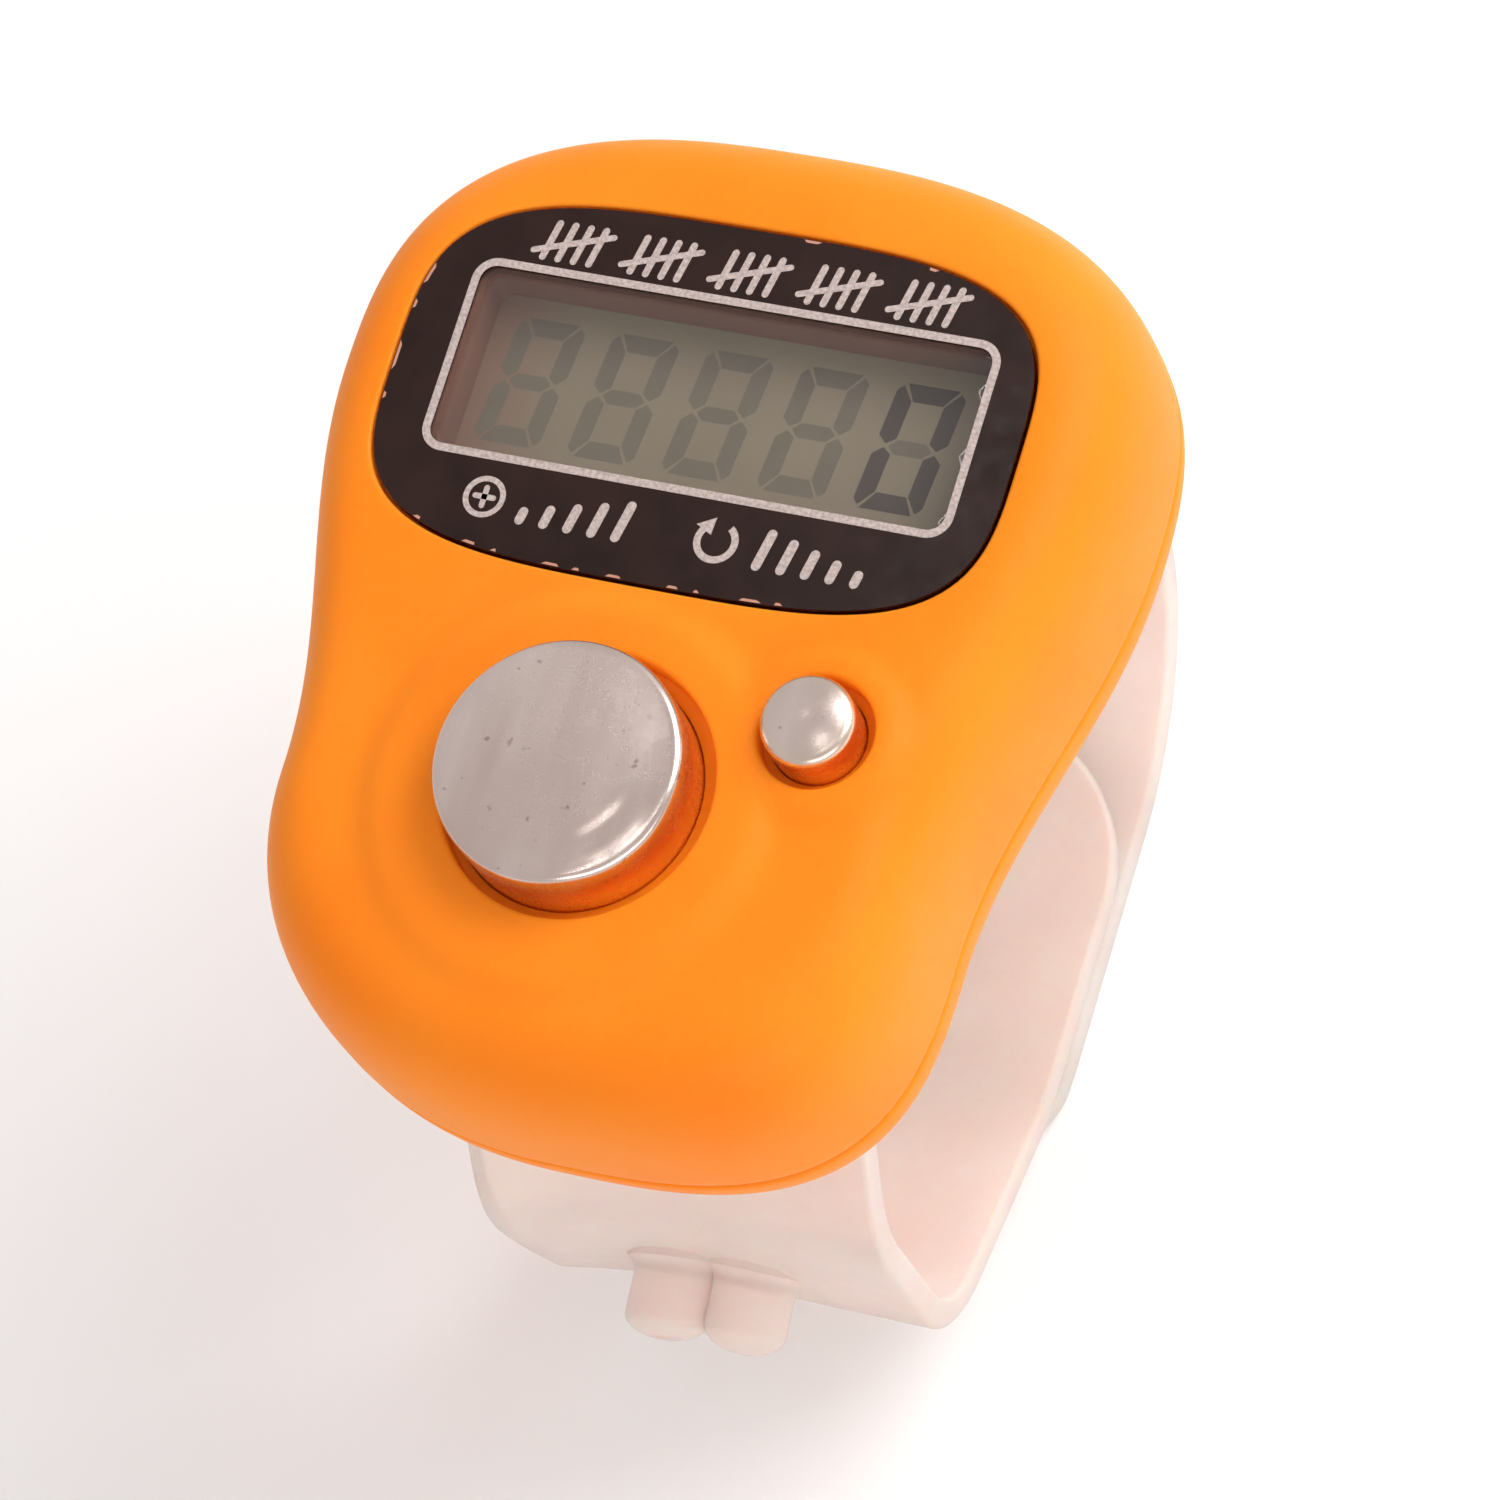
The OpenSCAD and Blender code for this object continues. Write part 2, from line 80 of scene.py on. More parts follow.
# ---- sizes from the frame
FRONT_LOW, FRONT_HIGH = box_mm("front_shell")
HALF_W = FRONT_HIGH.x
HALF_L = FRONT_HIGH.y
SEAM_Z = FRONT_LOW.z
DOOR_LOW, DOOR_HIGH = box_mm("battery_door")
BACK_Z = DOOR_LOW.z
LENS_LOW, LENS_HIGH = box_mm("window_lens")
FILM_LOW, FILM_HIGH = box_mm("face_label")
FACE_Z = FILM_HIGH.z + 0.01
GLASS_HIGH = box_mm("lcd_front_glass")[1]
COUNT_LOW, COUNT_HIGH = box_mm("count_button")
RESET_LOW, RESET_HIGH = box_mm("reset_button")
COUNT_POS = ((COUNT_LOW.x + COUNT_HIGH.x) / 2, (COUNT_LOW.y + COUNT_HIGH.y) / 2)
RESET_POS = ((RESET_LOW.x + RESET_HIGH.x) / 2, (RESET_LOW.y + RESET_HIGH.y) / 2)
CELL_LOW, CELL_HIGH = box_mm("battery_cell")
CELL_POS, CELL_R = ((CELL_LOW.x + CELL_HIGH.x) / 2, 0.0), (CELL_HIGH.x - CELL_LOW.x) / 2
BOARD_LOW = box_mm("circuit_board")[0]
DOME_LOW, DOME_HIGH = box_mm("count_dome")

# Sizes that the frame's boxes don't give: the outline's two lobes and waist, with superellipse powers
WAIST_HALF_W = 12.8
LOBE_N, LOWER_LEFT_N, LOWER_RIGHT_N = 2.7, 2.15, 2.95
UPPER_Y, LOWER_Y = 7.9, -9.1
# Label and window: the window is (width, height, corner radius)
LABEL_N, LABEL_SHIFT, LABEL_EXTRA_H = 3.6, -0.2, 0.05
WINDOW = (20.2, 7.2, 0.6)
# Buttons
COUNT_R, COUNT_HOLE_R = 4.65, 5.13
RESET_R, RESET_HOLE_R = 1.76, 2.16
# Battery door and screws
DOOR_CORNER, DOOR_GAP = 2.0, 0.15
DOOR_SCREW = (7.0, 0.0)
SCREWS = ((0.0, 15.6), (-8.2, -13.6), (8.2, -13.6))
SCREW_HEAD_R, SCREW_SHANK_R, SCREW_SEAT = 1.55, 0.85, 1.0
# Strap: the pivots, the band, then the centre lines' shoulders, corners and slope in side view
PIVOT_Y, PIVOT_Z = 9.5, BACK_Z - 1.5
STRAP_W, STRAP_T, STRAP_GAP = 15.6, 1.3, 0.3
STRAP_REACH, SHOULDER_R, SHOULDER_Z = 16.85, 13.0, 13.0
CORNER_Y, CORNER_Z = 7.75, 10.7
LOWER_REACH, LOWER_SHOULDER_R, LOWER_SHOULDER_Z = 16.4, 10.5, 15.0
LOWER_CORNER_R, LOWER_CORNER_Z, LOWER_SLOPE = 5.0, 9.2, 20.0


# ---- mesh building
SMOOTH_DEG = 35.0
WELD = 1e-8


class Surface:
    """Vertices and faces gathered ring by ring, in millimetres."""

    def __init__(self):
        self.verts = []
        self.faces = []

    def ring(self, points):
        start = len(self.verts)
        self.verts += [tuple(p) for p in points]
        return list(range(start, len(self.verts)))

    def flat_ring(self, line, z):
        """A ring over a line in plan, all at one height."""
        return self.ring([(x, y, z) for x, y in line])

    def bridge(self, a, b):
        """Quads between two rings of the same length."""
        n = len(a)
        for i in range(n):
            j = (i + 1) % n
            self.faces.append((a[i], a[j], b[j], b[i]))

    def loft(self, rings, closed=False):
        """Quads along a row of rings; closed joins the last ring to the first as well."""
        for a, b in zip(rings, rings[1:] + rings[:1] if closed else rings[1:]):
            self.bridge(a, b)

    def stack(self, levels, closed=False):
        """Joined rings over lines in plan, each at its own height; levels holds (line, height) pairs."""
        rings = [self.flat_ring(line, z) for line, z in levels]
        self.loft(rings, closed)
        return rings

    def cap(self, ring):
        self.faces.append(tuple(ring))

    def fan(self, ring, point):
        self.verts.append(tuple(point))
        tip = len(self.verts) - 1
        for i in range(len(ring)):
            self.faces.append((ring[i], ring[(i + 1) % len(ring)], tip))

    def fill(self, outer, holes, height, spacing):
        """Fills the region between an outer ring and its holes, seen from above, with even triangles.

        height(x, y) gives the height of a point, and spacing the distance between the points inside.
        """
        clearance, batch = 0.45 * spacing, 500
        loops = [outer] + list(holes)
        lines = [np.array([self.verts[i][:2] for i in loop]) for loop in loops]
        grid = grid_points(lines[0].min(0), lines[0].max(0), spacing)
        grid = grid[between(grid, lines)]
        edge = np.concatenate(lines)
        far = np.ones(len(grid), bool)
        for chunk in np.array_split(np.arange(len(grid)), max(1, len(grid) // batch)):
            gap = grid[chunk][:, None, :] - edge[None, :, :]
            far[chunk] = (gap**2).sum(2).min(1) > clearance**2
        grid = grid[far]
        index = [i for loop in loops for i in loop]
        points = [self.verts[i][:2] for i in index] + [tuple(p) for p in grid]
        index += self.ring([(x, y, height(x, y)) for x, y in grid])
        links, start = [], 0
        for loop in loops:
            links += [(start + i, start + (i + 1) % len(loop)) for i in range(len(loop))]
            start += len(loop)
        _, _, tris, origin, _, _ = delaunay_2d_cdt([Vector(p) for p in points], links, [], 0, 1e-7)
        tris = np.array([[origin[v][0] for v in tri] for tri in tris])
        flat = np.array(points)
        keep = between(flat[tris].mean(1), lines)
        self.faces += [tuple(index[v] for v in tri) for tri in tris[keep]]

    def build(self, name, smooth_deg=SMOOTH_DEG):
        mesh = bpy.data.meshes.new(name)
        mesh.from_pydata([Vector(v) * MM for v in self.verts], [], self.faces)
        mesh.validate()
        return finish_mesh(name, mesh, smooth_deg)


def finish_mesh(name, mesh, smooth_deg=SMOOTH_DEG):
    """Makes an object of a mesh, with its normals outward and its edges smooth up to an angle."""
    work = bmesh.new()
    work.from_mesh(mesh)
    bmesh.ops.remove_doubles(work, verts=work.verts, dist=WELD)
    bmesh.ops.recalc_face_normals(work, faces=work.faces)
    work.to_mesh(mesh)
    work.free()
    mesh.polygons.foreach_set("use_smooth", [True] * len(mesh.polygons))
    mesh.set_sharp_from_angle(angle=radians(smooth_deg))
    mesh.update()
    piece = bpy.data.objects.new(name, mesh)
    bpy.context.scene.collection.objects.link(piece)
    return piece


def grid_points(low, high, spacing):
    """Points of a triangular grid over a box, clear of its sides."""
    margin, row_step = 0.3 * spacing, spacing * 0.866
    rows = []
    for k, y in enumerate(np.arange(low[1] + margin, high[1] - margin, row_step)):
        x = np.arange(low[0] + margin + (k % 2) * spacing / 2, high[0] - margin, spacing)
        rows.append(np.column_stack([x, np.full(len(x), y)]))
    return np.concatenate(rows)


def inside(points, loop):
    """Which points lie inside a closed line."""
    result = np.zeros(len(points), bool)
    x, y = points[:, 0], points[:, 1]
    for (ax, ay), (bx, by) in zip(loop, np.roll(loop, -1, axis=0)):
        if ay == by:
            continue
        crosses = (ay > y) != (by > y)
        result ^= crosses & (x < (bx - ax) * (y - ay) / (by - ay) + ax)
    return result


def between(points, loops):
    """Which points lie inside the first closed line and outside the others."""
    result = inside(points, loops[0])
    for loop in loops[1:]:
        result &= ~inside(points, loop)
    return result


def resample(points, count, closed=True):
    """The same line with its points evenly spaced."""
    p = np.array(points + [points[0]] if closed else points, float)
    along = np.concatenate([[0], np.cumsum(np.linalg.norm(np.diff(p, axis=0), axis=1))])
    at = np.linspace(0, along[-1], count + 1 if closed else count)
    out = np.column_stack([np.interp(at, along, p[:, k]) for k in range(p.shape[1])])
    return out[:-1] if closed else out


def combine(target, tool, operation):
    """Applies an exact boolean of tool to target, and removes tool."""
    change = target.modifiers.new("combine", "BOOLEAN")
    change.operation = operation
    change.solver = "EXACT"
    change.object = tool
    bpy.context.view_layer.update()
    depsgraph = bpy.context.evaluated_depsgraph_get()
    mesh = bpy.data.meshes.new_from_object(target.evaluated_get(depsgraph))
    target.modifiers.clear()
    name = target.name
    bpy.data.objects.remove(tool)
    bpy.data.objects.remove(target)
    return finish_mesh(name, mesh)


# ---- outlines
def lobe(half_w, length, n, turn):
    """A point on a quarter of a superellipse; turn runs from 0 at the side to 1 at the end."""
    a = turn * pi / 2
    return half_w * cos(a) ** (2 / n), length * sin(a) ** (2 / n)


def flank(y):
    """Half width of the case between the centres of its two lobes."""
    middle = (HALF_W + WAIST_HALF_W) / 2
    swing = (HALF_W - WAIST_HALF_W) / 2
    return middle + swing * cos(pi * (UPPER_Y - y) / (UPPER_Y - LOWER_Y))


def case_outline(count=288):
    """The case seen from above, counter-clockwise from the middle of its lower end."""
    steps = 200

    def side(lower_n):
        points = []
        for i in range(steps):
            x, y = lobe(WAIST_HALF_W, HALF_L + LOWER_Y, lower_n, 1 - i / steps)
            points.append((x, LOWER_Y - y))
        for i in range(steps):
            y = LOWER_Y + (UPPER_Y - LOWER_Y) * i / steps
            points.append((flank(y), y))
        for i in range(steps + 1):
            x, y = lobe(HALF_W, HALF_L - UPPER_Y, LOBE_N, i / steps)
            points.append((x, UPPER_Y + y))
        return points

    left = [(-x, y) for x, y in side(LOWER_LEFT_N)[-2:0:-1]]
    return resample(side(LOWER_RIGHT_N) + left, count)


def label_outline(grow=0.0, count=192):
    """The printed label's outline, counter-clockwise from the middle of its lower edge."""
    middle = (FILM_LOW.y + FILM_HIGH.y) / 2
    half_w = FILM_HIGH.x + LABEL_SHIFT + grow
    half_h = (FILM_HIGH.y - FILM_LOW.y) / 2 + LABEL_EXTRA_H + grow
    steps = 1500
    side = [lobe(half_w, half_h, LABEL_N, i / steps) for i in range(steps + 1)]
    side = [(x, -y) for x, y in side[:0:-1]] + side
    whole = side + [(-x, y) for x, y in side[-2:0:-1]]
    return resample([(x + LABEL_SHIFT, y + middle) for x, y in whole], count)


def rounded_rect(centre, width, height, radius):
    """A rounded rectangle as a closed line, counter-clockwise."""
    arc_steps, side_steps = 8, 10
    points = []
    for sx, sy, start in ((1, -1, -90), (1, 1, 0), (-1, 1, 90), (-1, -1, 180)):
        corner = (centre[0] + sx * (width / 2 - radius), centre[1] + sy * (height / 2 - radius))
        points += arc(corner, radius, start, start + 90, arc_steps)
    spread = []
    for i, (x, y) in enumerate(points):
        next_x, next_y = points[(i + 1) % len(points)]
        steps = side_steps if (i + 1) % (arc_steps + 1) == 0 else 1
        spread += [(x + (next_x - x) * k / steps, y + (next_y - y) * k / steps) for k in range(steps)]
    return np.array(spread)


def window_outline(grow=0.0):
    return rounded_rect((0, UPPER_Y), WINDOW[0] + 2 * grow, WINDOW[1] + 2 * grow, WINDOW[2] + grow)


def arc(centre, radius, start, end, steps):
    """Points of an arc, with angles in degrees."""
    turns = [radians(start + (end - start) * i / steps) for i in range(steps + 1)]
    return [(centre[0] + radius * cos(a), centre[1] + radius * sin(a)) for a in turns]


def circle(centre, radius, count=96):
    return np.array(arc(centre, radius, 0, 360, count)[:-1])


# ---- case
# Shares of the way to the outline: the flat face, the filled part of the skin, and the inside of the wall
FACE_SCALE, FILL_SCALE, WALL_SCALE = 0.745, 0.93, 0.905
SHOULDER_H = FACE_Z - SEAM_Z - 0.5
SHOULDER_N = 3.0
CEILING_Z = FACE_Z - 1.5
LABEL_PLAY, LABEL_FILLET = 0.12, 0.16
RECESS_Z, WELL_Z = LENS_LOW.z - 0.02, GLASS_HIGH.z + 0.01
SKIRT_W = 1.4
HOLE_FILLET, LEDGE_Z, GUIDE_Z = 0.18, FACE_Z - 0.62, COUNT_LOW.z + 0.85
# For each button: position, offset of its hole, radii of hole and shaft, wall of the guide, points round
BUTTON_HOLES = (
    (COUNT_POS, (0.27, -0.1), COUNT_HOLE_R, COUNT_R, 0.5, 160),
    (RESET_POS, (0.14, -0.08), RESET_HOLE_R, RESET_R, 0.4, 96),
)
# Raised discs round the buttons: centre, radii where the slope starts and ends, and height
PLATEAUS = (
    ((COUNT_POS[0] - 0.1, COUNT_POS[1] - 0.5), 6.9, 8.2, 0.42),
    ((RESET_POS[0] + 0.1, RESET_POS[1] - 0.1), 2.6, 3.7, 0.34),
)
OUTLINE = case_outline()
OUTLINE_ANGLES = np.unwrap(np.arctan2(OUTLINE[:, 1], OUTLINE[:, 0]))
OUTLINE_RADII = np.hypot(OUTLINE[:, 0], OUTLINE[:, 1])


def smooth_step(low, high, value):
    t = min(1.0, max(0.0, (value - low) / (high - low)))
    return t * t * (3 - 2 * t)


def outline_scale(x, y):
    """How far out a point lies, as a share of the way to the outline."""
    turn = atan2(y, x)
    radius = np.interp(turn, OUTLINE_ANGLES, OUTLINE_RADII, period=2 * pi)
    return hypot(x, y) / radius


def shoulder(scale):
    """Height of the case's outer skin above its rise, at a share of the way to the outline."""
    u = min(1.0, max(0.0, (scale - FACE_SCALE) / (1 - FACE_SCALE)))
    return FACE_Z - SHOULDER_H + SHOULDER_H * (1 - u**SHOULDER_N) ** (1 / SHOULDER_N)


def face_height(x, y):
    """Height of the face, with a softly raised disc round each button."""
    lift = 0.0
    for (cx, cy), inner, outer, height in PLATEAUS:
        r = hypot(x - cx, y - cy)
        lift = max(lift, height * (1 - smooth_step(inner, outer, r)))
    return shoulder(outline_scale(x, y)) + lift


def edge_rings(surface, outline, fillet, bottom):
    """A hole's rounded edge, from the face down to a depth. outline(grow) gives the hole's line."""
    rings = []
    steps = 4
    for i in range(steps + 1):
        a = pi / 2 * i / steps
        drop = fillet * (1 - cos(a))
        line = outline(fillet * (1 - sin(a)))
        rings.append(surface.ring([(x, y, face_height(x, y) - drop) for x, y in line]))
    rings.append(surface.flat_ring(outline(0), bottom))
    surface.loft(rings)
    return rings[0], rings[-1]


def build_case_front():
    """The front shell: its skin, the label's recess, the window's well and the buttons' guides."""
    s = Surface()

    def skin(scale):
        line = [(x * scale, y * scale) for x, y in OUTLINE]
        return s.ring([(x, y, face_height(x, y)) for x, y in line])

    steps = 18
    first = acos((FILL_SCALE - FACE_SCALE) / (1 - FACE_SCALE))
    turns = [first * (1 - i / steps) for i in range(steps)]
    rings = [skin(FACE_SCALE + (1 - FACE_SCALE) * cos(turn)) for turn in turns]
    rings += [s.flat_ring(OUTLINE * scale, z) for scale, z in (
        (1.0, FACE_Z - SHOULDER_H),
        (0.9995, SEAM_Z + 0.25), (0.997, SEAM_Z + 0.1), (0.991, SEAM_Z + 0.03),
        (WALL_SCALE, SEAM_Z + 0.03), (WALL_SCALE, FACE_Z - 4.2), (0.89, FACE_Z - 3.1), (0.85, CEILING_Z),
    )]
    s.loft(rings)

    lip, recess = edge_rings(s, lambda g: label_outline(LABEL_PLAY + g), LABEL_FILLET, RECESS_Z)
    well = s.stack([(window_outline(grow), z) for grow, z in (
        (0, RECESS_Z), (0, WELL_Z), (SKIRT_W, WELL_Z), (SKIRT_W, CEILING_Z),
    )])
    s.fill(recess, [well[0]], lambda x, y: RECESS_Z, 2.0)

    face_holes, ceiling_holes = [lip], [well[-1]]
    for pos, play, radius, shaft_r, wall, count in BUTTON_HOLES:
        middle = (pos[0] + play[0], pos[1] + play[1])
        rim, low = edge_rings(s, lambda g: circle(middle, radius + g, count), HOLE_FILLET, LEDGE_Z)
        chain = [low] + [s.flat_ring(circle(pos, r, count), z) for r, z in (
            (shaft_r + 0.07, LEDGE_Z - 0.02), (shaft_r + 0.04, LEDGE_Z - 0.05), (shaft_r + 0.04, GUIDE_Z),
            (radius + wall, GUIDE_Z), (radius + wall, CEILING_Z),
        )]
        s.loft(chain)
        face_holes.append(rim)
        ceiling_holes.append(chain[-1])
    s.fill(rings[0], face_holes, face_height, 0.42)
    s.fill(rings[-1], ceiling_holes, lambda x, y: CEILING_Z, 2.0)
    return s.build("case_front", 50)


# The back shell at the parting line, at its flat back, and inside, as shares of the way to the outline
SEAM_SCALE, BACK_SCALE, INNER_SCALE = 0.9985, 0.94, 0.9
INNER_Z = BACK_Z + 1.7


def build_case_back():
    """The back shell: its skin, the screws' seats, and the seats of the battery door and the cell."""
    s = Surface()
    edge_h = SEAM_Z - 0.28 - BACK_Z
    rings = [s.flat_ring(OUTLINE * scale, z) for scale, z in (
        (INNER_SCALE, INNER_Z), (INNER_SCALE, SEAM_Z - 0.03), (0.985, SEAM_Z - 0.03),
        (0.991, SEAM_Z - 0.07), (0.9965, SEAM_Z - 0.15),
    )]
    steps = 14
    for i in range(steps + 1):
        a = pi / 2 * i / steps
        scale = BACK_SCALE + (SEAM_SCALE - BACK_SCALE) * cos(a)
        rings.append(s.flat_ring(OUTLINE * scale, BACK_Z + edge_h * (1 - sin(a))))
    s.loft(rings)

    def hole(line, chamfer, depth):
        steps = ((chamfer, 0), (0, chamfer), (0, depth))
        rings = s.stack([(line(grow), BACK_Z + z) for grow, z in steps])
        return rings[0], rings[-1]

    back_holes, inner_holes = [], []
    for pos in SCREWS:
        rim, deep = hole(lambda g: circle(pos, SCREW_HEAD_R + g, 64), 0.08, SCREW_SEAT)
        shank = [s.flat_ring(circle(pos, SCREW_SHANK_R, 64), z) for z in (BACK_Z + SCREW_SEAT, INNER_Z)]
        s.loft([deep] + shank)
        back_holes.append(rim)
        inner_holes.append(shank[-1])

    width, length = DOOR_HIGH.x - DOOR_LOW.x, DOOR_HIGH.y - DOOR_LOW.y
    depth = DOOR_HIGH.z - DOOR_LOW.z + DOOR_GAP
    seat_z = BACK_Z + depth

    def door_line(grow):
        extra = 2 * (DOOR_GAP + grow)
        return rounded_rect((0, 0), width + extra, length + extra, DOOR_CORNER + grow)

    rim, deep = hole(door_line, 0.1, depth)
    back_holes.append(rim)
    seats = []
    for centre, inner_r, outer_r, step_z, count in (
        (CELL_POS, CELL_R + 0.25, CELL_R + 0.25 + 0.8, BOARD_LOW.z, 128),
        (DOOR_SCREW, 0.74, 1.7, BOARD_LOW.z - 0.3, 48),
    ):
        chain = s.stack([(circle(centre, r, count), z) for r, z in (
            (inner_r, seat_z), (inner_r, step_z), (outer_r, step_z), (outer_r, INNER_Z),
        )])
        seats.append(chain[0])
        inner_holes.append(chain[-1])
    s.fill(deep, seats, lambda x, y: seat_z, 1.5)
    s.fill(rings[-1], back_holes, lambda x, y: BACK_Z, 1.0)
    s.fill(rings[0], inner_holes, lambda x, y: INNER_Z, 2.0)
    return s.build("case_back", 50)


def build_ears():
    """The two pairs of ears that carry the strap's stub axles."""
    s = Surface()
    outer_r, bore_r, thick, bevel, clearance = 1.85, 0.85, 1.6, 0.18, 0.25
    top = BACK_Z - PIVOT_Z + 0.3
    count = 64

    def line(grow):
        """An ear's outline: round below the pivot, and cut off inside the case above it."""
        points = []
        for y, z in circle((0, 0), 1, count):
            reach = outer_r + grow
            if z > 0:
                reach = min(reach / max(abs(y), 1e-9), top / max(z, 1e-9))
            points.append((y * reach, z * reach))
        return points

    bore = circle((0, 0), bore_r, count)
    near = STRAP_W / 2 + clearance
    far = near + thick
    for side in (-1, 1):
        for end in (-1, 1):
            rings = [
                s.ring([(side * x, end * PIVOT_Y + y, PIVOT_Z + z) for y, z in points])
                for x, points in (
                    (near, bore), (near, line(-bevel)), (near + bevel, line(0)),
                    (far - bevel, line(0)), (far, line(-bevel)), (far, bore),
                )
            ]
            s.loft(rings, closed=True)
    return s.build("strap_ears", 40)


def lathe(name, centre, profile, count=128):
    """A closed solid of revolution about Z; profile runs from the axis at the bottom to that at the top."""
    s = Surface()
    rings = s.stack([(circle(centre, r, count), z) for r, z in profile if r > 0])
    for ring, (_, z) in ((rings[0], profile[0]), (rings[-1], profile[-1])):
        s.fan(ring, (*centre, z))
    return s.build(name)


# ---- buttons
def crown(radius, top, rim, dome):
    """Profile of a button's crown: a rounded rim and a slightly domed top."""
    points = arc((radius - rim, top - dome - rim), rim, 0, 80, 8)
    edge_r, edge_z = points[-1]
    steps = 28
    for i in range(1, steps):
        r = edge_r * (1 - i / steps)
        points.append((r, edge_z + (top - edge_z) * (1 - (r / edge_r) ** 2)))
    return points + [(0, top)]


def flange(cap_low, cap_high, bevel):
    """Profile of the flange that keeps a button in its guide."""
    low, r, thick = cap_low.z, (cap_high.x - cap_low.x) / 2, 0.6
    top = low + thick
    return [(0, low), (r - bevel, low), (r, low + bevel), (r, top - bevel), (r - bevel, top)]


# The dent in the count button's crown: its direction, the turns it fades between and its depth,
# then its two steps as (share, start radius, end radius)
DENT_TURN, DENT_FADE, DENT_DEPTH = -38.0, (8.0, 36.0), 0.26
DENT_STEPS = ((0.45, 2.7, 3.35), (0.55, 3.7, COUNT_R))


def build_count_cap():
    low, high = COUNT_LOW.z, COUNT_HIGH.z
    shaft = [(COUNT_R + grow, low + rise) for grow, rise in ((0.15, 0.6), (0.04, 0.66), (0, 0.8), (0, 3))]
    profile = flange(COUNT_LOW, COUNT_HIGH, 0.1) + shaft + crown(COUNT_R, high, 0.32, 0.12)
    cap = lathe("count_cap", COUNT_POS, profile, 192)
    for vertex in cap.data.vertices:
        x, y, z = vertex.co / MM
        x, y = x - COUNT_POS[0], y - COUNT_POS[1]
        if z > high - 0.6:
            turn = abs(degrees(atan2(y, x)) - DENT_TURN)
            r = hypot(x, y)
            dent = sum(share * smooth_step(start, end, r) for share, start, end in DENT_STEPS)
            vertex.co.z -= DENT_DEPTH * dent * (1 - smooth_step(*DENT_FADE, turn)) * MM
    cap.data.update()
    return cap


def build_reset_cap():
    low, high = RESET_LOW.z, RESET_HIGH.z
    shaft = [(RESET_R + grow, low + rise) for grow, rise in ((0.1, 0.6), (0, 0.7), (0, 3.4))]
    profile = flange(RESET_LOW, RESET_HIGH, 0.08) + shaft + crown(RESET_R, high, 0.4, 0.26)
    return lathe("reset_cap", RESET_POS, profile, 96)


def build_dome(name, pos, foot_r, crown_r):
    """A hollow rubber dome under a button."""
    low, high, skin = DOME_LOW.z, DOME_HIGH.z, 0.32
    profile = [
        (0, high - skin), (crown_r - skin, high - skin), (foot_r - skin * 1.8, low), (foot_r, low),
        (foot_r, low + 0.12), (crown_r + 0.06, high - 0.1), (crown_r - 0.06, high), (0, high),
    ]
    return lathe(name, pos, profile, 64)


# ---- window, label and display
def build_slab(name, line, low, high, bevel):
    """A flat panel with a bevelled rim. line(grow) gives its outline."""
    s = Surface()
    rings = s.stack([(line(grow), z) for grow, z in (
        (-bevel, low), (0, low + bevel),
        (0, high - bevel), (-bevel * 0.3, high - bevel * 0.3), (-bevel, high),
    )])
    s.fill(rings[0], [], lambda x, y: low, 1.5)
    s.fill(rings[-1], [], lambda x, y: high, 1.5)
    return s.build(name, 30)


def build_film(name, outer, inner, low, high):
    """A flat film with a hole."""
    s = Surface()
    rims, holes = (s.stack([(line, low), (line, high)]) for line in (outer, inner))
    for rim, hole, z in zip(rims, holes, (low, high)):
        s.fill(rim, [hole], lambda x, y: z, 1.0)
    return s.build(name, 30)


def prism(s, line, low, high):
    """Adds a flat-topped prism over a convex outline to a surface."""
    for ring in s.stack([(line, low), (line, high)]):
        s.cap(ring)


def bar(start, end, width):
    """A straight stroke's outline with rounded ends."""
    start, end = np.array(start, float), np.array(end, float)
    along = (end - start) / np.linalg.norm(end - start)
    angle = degrees(atan2(along[1], along[0]))
    r = width / 2
    return arc(end, r, angle - 90, angle + 90, 6) + arc(start, r, angle + 90, angle + 270, 6)


def ribbon(s, outer, inner, low, high, closed=False):
    """Adds a flat strip between two lines to a surface."""
    rings = [s.ring([(*a, low), (*b, low), (*b, high), (*a, high)]) for a, b in zip(outer, inner)]
    s.loft(rings, closed)
    if not closed:
        s.cap(rings[0])
        s.cap(rings[-1])


def arc_strip(s, centre, radius, width, start, end, low, high):
    """Adds a curved stroke, or a whole circle."""
    closed = end - start == 360
    outer, inner = (arc(centre, radius + grow, start, end, 28) for grow in (width / 2, -width / 2))
    if closed:
        outer, inner = outer[:-1], inner[:-1]
    ribbon(s, outer, inner, low, high, closed)


# Width of the printed marks' strokes
STROKE = 0.27


